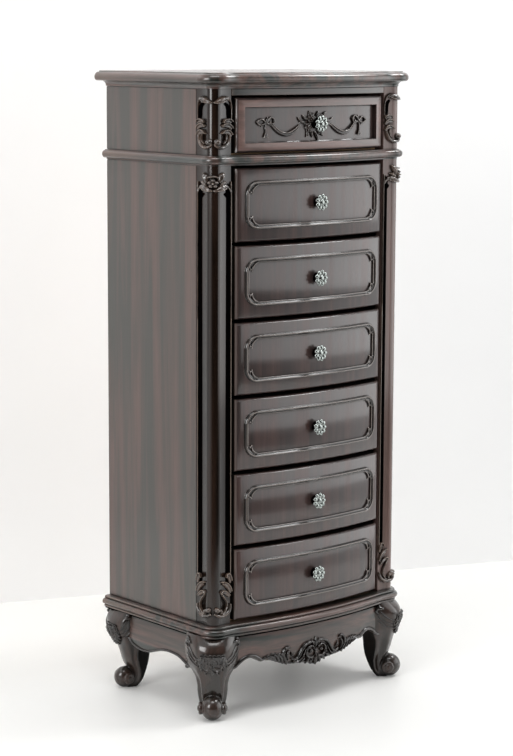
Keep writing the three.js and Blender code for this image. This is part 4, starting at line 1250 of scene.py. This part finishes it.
# %% Upper ornament
UPPER_SCALES = [
    (3.6, [(46, 56), (42, 60), (34, 61.5), (26, 60), (22, 55)],
     [(42, 54), (36, 57), (29, 57), (24, 55)]),
    (4.0, [(46, 43), (41, 49), (33, 52.5), (24, 51.5), (17, 48)],
     [(43, 42), (36, 47), (28, 48), (21, 47)]),
    (4.0, [(45, 30), (39, 37.5), (31, 40), (22, 37.5), (14.5, 33)],
     [(42, 28), (36, 34), (28, 35.5), (20, 33.5)]),
]
upper_low = node_box("upper_ornament_right")[0][2]
UPPER_TOP = 102
upper = Carving(mirror=True)
stem_bead(upper, 60, UPPER_TOP)
hook_leaf(upper, UPPER_TOP)
for row in UPPER_SCALES:
    scale_leaf(upper, *row)
upper.stroke((29, 32, 1, 5), (30.5, 26, 1.3, 5.5), (29, 19, 1.3, 5.5), (23, 13, 1, 5))
upper.stroke(
    (39.5, 29, 2, 5), (37.5, 21, 3.2, 7), (33, 13, 4, 8.4), (26, 8, 4.3, 9), (18, 5.8, 4.3, 9),
    (10, 6.4, 3.6, 8.4), (4, 9.5, 2.4, 7), (2.4, 13, 1.8, 6),
)
upper.bead(7.4, 16.5, 6.6, 10.4)
print("upper ornament drawn")

# %% [markdown]
# The lower ornament runs nearly the whole height of the post, from leaf tips round a flower at
# the top to scrolls at the foot.

# %% Lower ornament
LOWER_SCALES = [
    (3.8, [(46, 68), (43.5, 78), (39, 84), (34, 83), (31.5, 76)],
     [(43, 64), (41, 71), (38, 78), (35, 79)]),
    (4.2, [(46, 46), (42, 56), (35, 64), (26, 68.5), (18, 68)],
     [(43, 44), (38, 54), (31, 61), (24, 64)]),
    (3.6, [(42, 38), (36, 44), (28, 49.5), (20, 50), (15.5, 46)],
     [(41, 36), (36, 40), (30, 44), (22, 46)]),
]
lower_low = node_box("lower_ornament_right")[0][2]
span = LOWER_ORNAMENT_TOP - lower_low
lower = Carving(mirror=True)
stem_bead(lower, 84, span - 29)
hook_leaf(lower, span - 25.5)
leaf(lower, (12, span - 17), (25, span + 2), 6, 9, 0.16)
leaf(lower, (14, span - 14), (21, span - 1), 2.2, 10.6, 0.16)
leaf(lower, (13, span - 22), (30, span - 15.5), 4.4, 9, 0.1)
for row in LOWER_SCALES:
    scale_leaf(lower, *row)
lower.stroke(
    (18, 44, 1, 5), (23.5, 38.5, 1.8, 6.4), (28.5, 32, 1.9, 6.6), (33, 24, 1.8, 6.6),
    (33.5, 15, 1.8, 6.6), (28, 6, 1.6, 6.4), (21, 1.5, 1, 6),
)
lower.stroke(
    (44, 20, 1.4, 5), (42, 11, 3.6, 7), (36.5, 3.5, 4.8, 8.6), (28, -1.2, 5, 9),
    (19, -2.6, 4.8, 8.8), (10, -0.6, 4, 8.4), (2.6, 4, 2.6, 7.4),
)
lower.bead(8.2, 11.5, 6, 10.6)
lower.stroke((13, 12, 3, 8), (16.5, 8, 2.4, 7.4), (16, 3.6, 1.6, 6.6))
print("lower ornament drawn")

# %% [markdown]
# The flower has five petals under a short ribbon, on the middle of the column. Each ornament is
# then fused, bent round its post and mirrored.

# %% Flower, and the ornaments as pieces
flower_height = span - 19
flower = Carving()
flower.stroke(
    (-12, span - 8.5, 1.6, 6), (-6, span - 6, 2.6, 7), (0, span - 5, 2.8, 7.4),
    (6, span - 6, 2.6, 7), (12, span - 8.5, 1.6, 6),
)
for petal in range(5):
    turn = math.pi * (0.5 + 0.4 * petal)
    flower.bead(6.2 * math.cos(turn), flower_height + 6.2 * math.sin(turn), 4.2, 9)
flower.bead(0, flower_height, 2.4, 10.5)

ORNAMENTS = {
    "upper": (upper_low, stem(62, 92), ((upper, 0.6),)),
    "lower": (lower_low, stem(82, span - 40), ((lower, 0.8), (flower, 0.6))),
}
for stage, (low, hollow, carvings) in ORNAMENTS.items():
    part = merge(*[carving.finish(voxel=voxel, smoothing=1) for carving, voxel in carvings])
    part, hollow = (
        wrapped(flat, lambda spots: on_post(spots + [0, low, 0])) for flat in (part, hollow)
    )
    for hand, turn in HANDS.items():
        name = f"{stage}_ornament_{hand}"
        add_piece(f"{name}_carved", turn(part), bronze_wood, "case", [name])
        add_piece(f"{name}_stem", turn(hollow), black_glaze_and_shade, "case")

# %% [markdown]
# ## Legs
# A cabriole leg swells at the knee, narrows at the ankle and ends in a scroll foot. It is drawn
# as level sections: each row below gives the height, the front of the section, the edge of its
# face, the hollow beside the face, the raised rim and the back. A smooth curve runs through the
# rows. The foot is a barrel with a whorl on each side, turned about a level axis. The shaft and
# the foot are fused by a voxel remesh, as they are one block of wood. In each leg's own plan, u
# points outwards from the chest and v runs across.

# %% Sections of the legs
# Rows: z, front u, face u and v, hollow u and v, rim u and v, back u and v.
FRONT_LEG = [
    (178.7, -5, -10, 30, -24, 43, -41, 52.5, -68, 40),
    (172, 0, -5, 31, -20, 44, -40, 53.5, -68, 40),
    (165, 8, -1, 32, -18, 45, -39, 54.5, -68, 40),
    (158, 13.5, 3, 33, -17, 46, -38, 56, -68, 40),
    (148, 17.5, 6, 33, -16, 46.5, -38, 57, -68, 40),
    (138, 18, 6, 33, -16, 46, -38, 56.5, -67.5, 39),
    (128, 15, 4.5, 32.5, -17, 46, -38, 55.5, -67, 38),
    (116, 10.5, 1.5, 32, -18, 44.5, -37, 53, -66, 35),
    (107, 7.5, -1, 31, -18, 40, -34.5, 48, -65, 31),
    (98, 5, -3.5, 29, -18.5, 34.5, -32, 42, -64, 27),
    (88, 2, -6, 26, -19.5, 28.5, -30, 36, -63, 23),
    (78, -0.8, -8, 24, -21, 25, -30, 33, -62.4, 19),
    (66, -4, -11, 23, -22.5, 23.4, -31, 31, -61.6, 17),
    (52, -9, -15, 22, -26, 22.4, -33, 30.5, -59.5, 16),
    (40, -17, -21, 20.5, -29, 22, -35, 29, -56, 15.5),
    (25, -20, -24, 18, -30, 20, -34, 26, -50, 15),
    (12, -14, -18, 16, -26, 18, -30, 22.5, -42.5, 14),
    (0, -8, -12, 11, -18, 12, -23, 14, -33, 11),
]
BACK_LEG = [
    (178.7, 4, 2, 34, -2, 40, -12, 42, -68, 42),
    (165, 15, 11, 34, 4, 40, -10, 42, -68, 42),
    (152, 22.5, 17, 34, 6, 40.5, -9, 42.5, -68, 41),
    (140, 24.5, 17, 33, 5, 40, -11, 42, -68, 39),
    (126, 23, 14, 31, 0, 37.5, -15, 40, -67, 35),
    (112, 16, 6, 28, -8, 33, -21, 36.5, -66, 30),
    (98, 8, -2, 25.5, -15, 28.5, -25, 33.5, -65, 25),
    (84, 2, -7, 23.6, -17, 25, -24, 28.5, -63, 20),
    (66, -4, -11, 22, -19, 22.6, -24, 26, -61.6, 17),
    (52, -9, -15, 21, -22, 21.6, -27, 25.5, -59.5, 16),
    (40, -17, -21, 19.5, -27, 21, -31, 25, -56, 15.5),
    (25, -20, -24, 17, -29, 19, -33, 23, -50, 15),
    (12, -14, -18, 15, -25, 17, -29, 20.5, -42.5, 14),
    (0, -8, -12, 11, -17, 12, -22, 14, -33, 11),
]
print("leg sections:", len(FRONT_LEG), "and", len(BACK_LEG))

# %% [markdown]
# The shaft is skinned over closed curves through each row's points. The foot is spun from a
# profile. Both are fused by the remesh, and the faces behind the rim are told apart, because
# they take a black of painted shade.

# %% Shaft and scroll foot
LEG_STEPS = 8
SECTION_STEPS = 5
LEG_VOXEL = 1.3


def leg_ring(row):
    z, front, face_u, face, hollow_u, hollow, rim_u, rim, back, back_half = row
    half = [
        (front - 0.22 * (front - face_u), face * 0.5), (face_u, face), (hollow_u, hollow),
        (rim_u, rim), (rim_u - 5, rim - 0.5), ((rim_u + back) / 2 - 4, (rim + back_half) / 2),
        (back, back_half * 0.8),
    ]
    other = [(u, -v) for u, v in half[::-1]]
    loop = smooth_loop([(front, 0), *half, (back, 0), *other], SECTION_STEPS)
    return np.column_stack([loop, np.full(len(loop), z)])


def scroll_foot(scale):
    barrel = [(25 * math.sqrt(1 - (v / 23) ** 2), v) for v in np.linspace(0, 18.6, 10)]
    groove = [(12.6, 19.3), (11.2, 20.2)]
    whorl = [(12.2, 21.4), (13.2, 23.4), (13.2, 26), (11.8, 28.2), (9.2, 29), (7, 27.6)]
    eye = [(5.8, 27.8), (5.6, 30), (3.4, 31.2), (0.01, 31.4)]
    half = barrel + groove + whorl + eye
    profile = [(r, -v) for r, v in half[:0:-1]] + half
    points, faces = turned(profile, 56)
    u, z, v = scale * points.T
    return np.column_stack([u - 6.5, v, z + 25 * scale]), faces


def leg(rows, foot_scale):
    shaft = skin([leg_ring(row) for row in smooth_path(rows, LEG_STEPS)])
    whole = merge(shaft, scroll_foot(foot_scale))
    points, faces = run_modifiers(as_mesh(whole), lambda holder: soften(holder, LEG_VOXEL, 3))
    points[:, 2] = np.clip(points[:, 2], 0, leg_top)
    return points, faces


def behind_rim(part, rows):
    """1 for each face of a leg that lies behind its rim, where black is painted for shade."""
    points, faces = part
    rows = np.array(rows[::-1])
    middles = np.array([points[face].mean(axis=0) for face in faces])
    rim = np.interp(middles[:, 2], rows[:, 0], rows[:, 6])
    return (middles[:, 0] < rim - 3).astype(int)


front_leg = leg(FRONT_LEG, 1.0)
back_leg = leg(BACK_LEG, 0.9)
print("front leg", len(front_leg[1]), "faces; back leg", len(back_leg[1]))

# %% [markdown]
# The knees carry a shell of small leaves under a scalloped lip, two fine lines that run down to
# it from the ears, and a small curl on each ear. They are carved flat like the other ornaments.
# To lay them on the knee, a ray from outside finds where each point meets the leg, and the point
# is set off that surface by its own height.

# %% Knee carving
RAY_START = 60


def laid_on(part, target):
    """Flat places (v, z, h) laid on the outer side of a leg."""
    tree = BVHTree.FromPolygons(target[0].tolist(), target[1])
    flat, faces = part
    placed = []
    for v, z, h in flat:
        spot, normal, _, _ = tree.ray_cast(Vector((RAY_START, v, z)), Vector((-1, 0, 0)))
        if spot is None:
            spot, normal, _, _ = tree.find_nearest(Vector((0, v, z)))
        placed.append(spot + normal * h)
    return np.array(placed), faces


def knee_shell():
    """A shell that hangs from a scalloped lip, covered by rows of small leaf tips."""
    shell = Carving()
    for step in range(9):
        share = (step - 4) / 4
        shell.stroke(
            (share * 5, 104, 0.8, 1.4), (share * 17, 114, 2.6, 2), (share * 27, 127, 3.6, 2.2),
            (share * 23, 140, 3, 2.4),
        )
    for step in range(6):
        a = (step - 2.5) * 8.4
        shell.stroke((a - 4, 142.2, 1, 3.4), (a, 144.6, 1.5, 5.4), (a + 4, 142.2, 1, 3.4))
    tip_rows = ((137, 23, 6), (129, 28, 7), (121, 25, 6), (113, 18, 5), (106, 10, 3))
    for level, spread, tips in tip_rows:
        for step in range(tips):
            share = 2 * step / (tips - 1) - 1
            a = spread * share
            tip = (a * 1.02 + 2.5 * share, level - 6)
            leaf(shell, (a * 0.94, level + 4), tip, 2.9, 5.2, 0.25 * (-1) ** step)
            shell.bead(tip[0], tip[1] + 1.5, 1.6, 6.2)
    leaf(shell, (0, 110), (0, 98), 3, 6, 0)
    sides = Carving(mirror=True)
    sides.stroke((49, 157, 0.7, 2), (45, 147, 1.1, 3), (39, 138.5, 1.1, 3), (30, 131.5, 0.8, 2.4))
    sides.stroke((52, 149, 0.7, 1.6), (48, 138.5, 1, 2.6), (41, 130, 1, 2.6), (31, 124, 0.8, 2))
    sides.stroke(
        (52, 139, 0.7, 1.4), (47, 129, 0.9, 2.2), (40, 121.5, 0.9, 2.2), (31, 117, 0.7, 1.8),
    )
    sides.bead(48, 163, 4.6, 6)
    sides.stroke(
        (52, 172, 1, 2), (48, 170.5, 1.8, 4.4), (51, 163, 1.8, 5), (53, 156, 1.4, 4),
        (51, 151, 0.8, 2),
    )
    return merge(shell.finish(0.7, 0, root=0.6), sides.finish(0.7, 1, root=0.6))


print("knee carving ready")

# %% [markdown]
# The front legs are turned to the corners of the chest and the back ones nearly to the side.
# The back knees are narrower, so their shell is too.

# %% Legs in their places


def placed_leg(part, turn, corner):
    """A leg's own plan turned outwards and moved to its corner of the chest."""
    points, faces = part
    c, s = math.cos(turn), math.sin(turn)
    u, v, z = points.T
    return np.column_stack([corner[0] + c * u - s * v, corner[1] + s * u + c * v, z]), faces


shell = knee_shell()
back_low, back_high = node_box("back_right_leg")
back_middle = (back_low[1] + back_high[1]) / 2
# Each end's leg, its sections, the width of its shell, its turn in degrees and its corner.
LEG_PLACES = {
    "front": (front_leg, FRONT_LEG, 1, -50, (case_half, 0)),
    "back": (back_leg, BACK_LEG, 0.82, 8, (case_half, back_middle)),
}
for end, (shaft, rows, shell_width, degrees, corner) in LEG_PLACES.items():
    # Faces behind the rim take the black of painted shade.
    in_shade = behind_rim(shaft, rows)
    carved = laid_on((shell[0] * [shell_width, 1, 1], shell[1]), shaft)
    shaft, carved = (placed_leg(part, math.radians(degrees), corner) for part in (shaft, carved))
    for hand, turn in HANDS.items():
        name = f"{end}_{hand}_leg"
        add_piece(
            f"{name}_turned", turn(shaft), leg_wood, "case", [name],
            others=[shade_black], share=in_shade,
        )
        add_piece(f"{name}_shell", turn(carved), carved_wood, "case")

# %% [markdown]
# ## Aprons
# The aprons close the gap between the legs. The lower edge rises and falls in arches with a bead
# along it; the front apron has a carved crest in the middle. The face is skinned over stations
# along the edge and swells a little, and the bead and the crest are carved flat and laid on it.

# %% Apron boards
APRON_PROUD = 4
APRON_THICK = 20
APRON_SWELL = 3.5
APRON_ROWS = 12
FRONT_EDGE = [
    (0, 80), (9, 81.5), (17, 86), (45, 89.5), (70, 91.6), (90, 97), (112, 105.5), (130, 109),
    (139, 108), (145, 111), (155, 117.5), (168, 120), (180, 117), (190, 111), (198, 104),
    (205, 101), (214, 100),
]
SIDE_EDGE = [
    (58, 98), (66, 98.5), (73, 99.5), (80, 102), (88, 106), (107, 113), (139, 115.6), (170, 111),
    (206, 100), (235, 98.7), (263, 106), (277, 116), (286, 122), (300, 128),
]


def apron(edge, face):
    rows = np.linspace(0, 1, APRON_ROWS + 1)
    rings = []
    for along, low in edge:
        z = low + (leg_top - low) * rows
        swell = APRON_SWELL * np.sin(math.pi * rows)
        front = face(np.column_stack([np.full(len(z), along), z, swell]))
        back = face(np.array([[along, leg_top, -APRON_THICK], [along, low, -APRON_THICK]]))
        rings.append(np.vstack([front, back]))
    return skin(rings)


def on_front_apron(flat):
    a, b, h = flat.T
    return np.column_stack([a, -APRON_PROUD - bow(a) - h, b])


def on_side_apron(flat):
    a, b, h = flat.T
    return np.column_stack([case_half + APRON_PROUD + h, a, b])


front_edge = smooth_path(FRONT_EDGE, 6)
whole_edge = np.vstack([(front_edge * [-1, 1])[:0:-1], front_edge])
side_edge = smooth_path(SIDE_EDGE, 6)
front_apron = apron(whole_edge, on_front_apron)
side_apron = apron(side_edge, on_side_apron)
print("apron stations:", len(whole_edge), "and", len(side_edge))

# %% [markdown]
# The crest has two scrolls towards the middle, a leaf and a scroll outside them, a fan of ribs
# and a row of leaves below. It is the same on both sides, and a middle leaf covers the joint.

# %% Crest of the front apron
crest = Carving(mirror=True)
crest.stroke(
    (67, 104, 1.6, 7), (58, 100.5, 3, 9), (49, 103.5, 3.8, 10), (42, 113, 4, 10.5),
    (35, 123, 4, 11), (25, 130, 3.8, 11), (13, 132, 3.2, 10), (3, 129, 2, 9),
)
crest.stroke(
    (62, 97, 1, 8), (50, 96, 1.6, 10), (40, 102, 1.8, 11), (33, 112, 1.6, 11), (29, 120, 1, 10),
)
crest.stroke(
    (6, 100, 1.6, 8), (16, 98.5, 3, 10.5), (25, 104, 3.4, 11), (26.5, 114, 3.4, 11),
    (19, 122.5, 3, 11), (9, 121.5, 2.6, 10.5), (6, 114.5, 1.8, 9.5),
)
crest.bead(15, 111.5, 5, 11)
crest.stroke(
    (76, 96, 2, 6), (84, 107, 3.4, 8.5), (86.5, 118, 3.8, 9.5), (82, 127.5, 3.4, 9.5),
    (74, 130.5, 2.8, 9), (68, 126.5, 1.4, 7.5),
)
crest.stroke((73, 101, 1.6, 7), (77.5, 111, 3, 10), (76, 119.5, 2.8, 10), (71, 122, 1.4, 8))
crest.bead(64, 112, 3.4, 9)
RIB_TOPS = ((133, 116), (124.5, 119.5), (115, 121.5), (105, 121), (95, 119))
RIB_FEET = ((113, 106.5), (104, 102.5), (95, 99), (87, 95.5), (78, 92.5))
for top, foot in zip(RIB_TOPS, RIB_FEET):
    leaf(crest, foot, top, 3.5, 8.5, 0.12)
    crest.bead(*top, 2, 6.5)
CREST_LEAVES = [
    ((6, 99), (13, 82), 4, 8.5, 0.14), ((15, 97), (27, 85), 3.8, 8.5, 0.14),
    ((28, 98), (43, 89), 3.6, 8.5, 0.14), ((44, 97), (60, 91), 3.4, 8, 0.14),
    ((3, 122), (10, 138), 3.4, 9, -0.12), ((58, 108), (66, 120), 3, 8, -0.2),
]
for row in CREST_LEAVES:
    leaf(crest, *row)
middle = Carving()
leaf(middle, (0, 106), (0, 79), 5.4, 10, 0)
leaf(middle, (0, 118), (0, 141), 4.4, 10, 0)
middle.bead(0, 112, 4.6, 11.5)
print("crest strokes:", len(crest.edges))

# %% [markdown]
# A lip follows the lower edge. On the front apron it is thin beside the crest, thickest on the
# flank and low again where it meets the leg.

# %% Lips, and the aprons as pieces
lip_line = front_edge[::3]
lip = Carving(mirror=True)
lip.stroke(*[(a, b + 2.4, 2.2, 3.6) for a, b in lip_line if a < 128])
lip.stroke(*[
    (a, b + 4.2, 4.6 if a > 140 else 3, 5.4 if a < 192 else 4.2) for a, b in lip_line if a > 122
])
carved = merge(*[carving.finish(0.8, 1) for carving in (crest, middle, lip)])
add_piece("front_apron_board", front_apron, across_wood, "case", ["front_apron"])
add_piece("front_apron_crest", wrapped(carved, on_front_apron), carved_wood, "case")
side_lip = Carving()
side_lip.stroke(*[(a, b + 3, 3, 4.2) for a, b in side_edge[::3]])
side_lip.stroke((76, 108, 1, 3), (72, 102.5, 2, 5), (75.5, 98, 2.4, 5.4), (80, 101, 1.6, 5))
side_carved = wrapped(side_lip.finish(0.8, 1), on_side_apron)
for hand, turn in HANDS.items():
    name = f"side_apron_{hand}"
    add_piece(f"{name}_board", turn(side_apron), deep_wood, "case", [name])
    add_piece(f"{name}_lip", turn(side_carved), carved_wood, "case")

# %% [markdown]
# ## Pieces that keep their shape
# The back panel, the dividers, the drawer boxes and the back apron are plain boards in the model,
# as they are on the bench, so they keep their shape and only take a finish.

# %% Finishes of the plain boards
for name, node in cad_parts.items():
    if node.hide_render:
        continue
    finish = across_wood if name == "back_apron" else inner_wood
    # The dividers seen in the gaps are painted black for the shade there.
    if name.startswith("divider"):
        finish = black_glaze_and_shade
    node.data.materials.clear()
    node.data.materials.append(finish)
    print(name, "takes", finish.name)

# %% [markdown]
# ## Studio
# A plain pale floor, a pale wall and soft light. The world is white for the camera and dimmer as a
# light, so that the background comes from its colour and not from more light on the chest. In
# reflections it is white too, but dark on the viewer's side, as a room behind a camera is. The
# paper of the floor and wall glows a little, and is clear from behind.

# %% Floor and wall
PAPER_GLOW = 0.05
WHITE = (1, 1, 1, 1)
FLOOR_RADIUS = 1.5
FLOOR_STEPS = 72
WALL_HALF, WALL_HEIGHT = 9, 6


def seen_rays(tree):
    """The light path's outputs, and 1 for rays from the camera, a reflection or glass."""
    path = add_node(tree, "ShaderNodeLightPath").outputs
    seen = maths(tree, "MAXIMUM", path["Is Camera Ray"], path["Is Glossy Ray"])
    return path, maths(tree, "MAXIMUM", seen, path["Is Transmission Ray"])


def stage_plane(name, corners, colour, roughness):
    mesh = bpy.data.meshes.new(name)
    mesh.from_pydata(corners, [], [range(len(corners))])
    material, tree, shader, place = start_material(name)
    cloud = add_node(tree, "ShaderNodeTexNoise", {"Vector": place, "Scale": 2.0, "Detail": 3.0})
    darker = tuple(0.95 * value for value in colour)
    paint = mixed(tree, cloud.outputs["Fac"], colour, darker)
    fill(tree, shader, {"Base Color": paint, "Roughness": roughness})
    lit = maths(tree, "MULTIPLY", seen_rays(tree)[1], PAPER_GLOW)
    glow = add_node(tree, "ShaderNodeEmission", {"Color": WHITE, "Strength": 1.0})
    paper = add_node(tree, "ShaderNodeMixShader", {0: lit, 1: shader, 2: glow})
    behind = add_node(tree, "ShaderNodeNewGeometry").outputs["Backfacing"]
    clear = add_node(tree, "ShaderNodeBsdfTransparent")
    paper = add_node(tree, "ShaderNodeMixShader", {0: behind, 1: paper, 2: clear})
    fill(tree, tree.nodes["Material Output"], {"Surface": paper})
    mesh.materials.append(material)
    plane = bpy.data.objects.new(name, mesh)
    bpy.context.scene.collection.objects.link(plane)


floor_turns = np.linspace(0, 2 * math.pi, FLOOR_STEPS + 1)[:-1]
floor = [(FLOOR_RADIUS * math.cos(turn), FLOOR_RADIUS * math.sin(turn), 0) for turn in floor_turns]
stage_plane("floor", floor, (0.93, 0.93, 0.91), 0.45)
wall_start, wall_end = Vector((-0.063, 0.911, 0)), Vector((1.257, 0.41, 0))
along = (wall_end - wall_start).normalized() * WALL_HALF
middle, rise = (wall_start + wall_end) / 2, Vector((0, 0, WALL_HEIGHT))
wall = [middle - along, middle + along, middle + along + rise, middle - along + rise]
stage_plane("wall", wall, (0.88, 0.88, 0.88), 0.7)
print("paper laid")

# %% [markdown]
# The light comes through a window on the left and from the front right. Two lamps stand in for
# the light from above, and a weak one lifts the back of the left side, as the pale room does.

# %% Lamps


def softbox(name, place, aim, size, power):
    light = bpy.data.lights.new(name, "AREA")
    light.shape = "RECTANGLE"
    light.size, light.size_y = size
    light.energy = power
    lamp = bpy.data.objects.new(name, light)
    lamp.location = place
    lamp.rotation_euler = (Vector(aim) - Vector(place)).to_track_quat("-Z", "Y").to_euler()
    bpy.context.scene.collection.objects.link(lamp)


softbox("window", (-3.3, -0.42, 1.8), (-0.25, -0.15, 1.2), (1.3, 1.7), 62)
softbox("front_right", (2.0, -2.15, 1.15), (0, -0.1, 0.9), (3.3, 2.0), 38)
softbox("back_left", (-1.1, 0.85, 2.2), (-0.25, 0, 1.25), (1.0, 0.9), 4)
softbox("upper_right", (1.6, -0.7, 2.9), (0, -0.1, 0.9), (0.8, 0.8), 29)
softbox("overhead", (-0.6, -0.8, 3.1), (-0.1, 0, 0.6), (1.3, 0.9), 22)
print("lamps:", len(bpy.data.lights))

# %% [markdown]
# The world is white and weak as a light. Reflections see it white, but dark on the side of the
# room behind the camera.

# %% World
WORLD_LIGHT = 0.35
ROOM_DARK = 0.01
ROOM_SIDE = (-0.3, -0.954, 0.0)
world = bpy.data.worlds.new("Studio")
bpy.context.scene.world = world
world.use_nodes = True
tree = world.node_tree
path, seen = seen_rays(tree)
direction = add_node(tree, "ShaderNodeTexCoord").outputs["Generated"]
towards = add_node(
    tree, "ShaderNodeVectorMath", {0: direction, 1: ROOM_SIDE}, operation="DOT_PRODUCT",
)
room = add_node(
    tree, "ShaderNodeMapRange",
    {
        "Value": towards.outputs["Value"], "From Min": 0.2, "From Max": 0.75,
        "To Min": 1.0, "To Max": ROOM_DARK,
    },
)
not_glossy = maths(tree, "SUBTRACT", 1.0, path["Is Glossy Ray"])
seen_room = maths(tree, "MAXIMUM", room.outputs["Result"], not_glossy)
strength = maths(tree, "MULTIPLY", scaled(tree, seen, WORLD_LIGHT, 1.0), seen_room)
fill(tree, tree.nodes["Background"], {"Color": WHITE, "Strength": strength})
bpy.context.scene.view_settings.view_transform = "Standard"
print("studio ready")
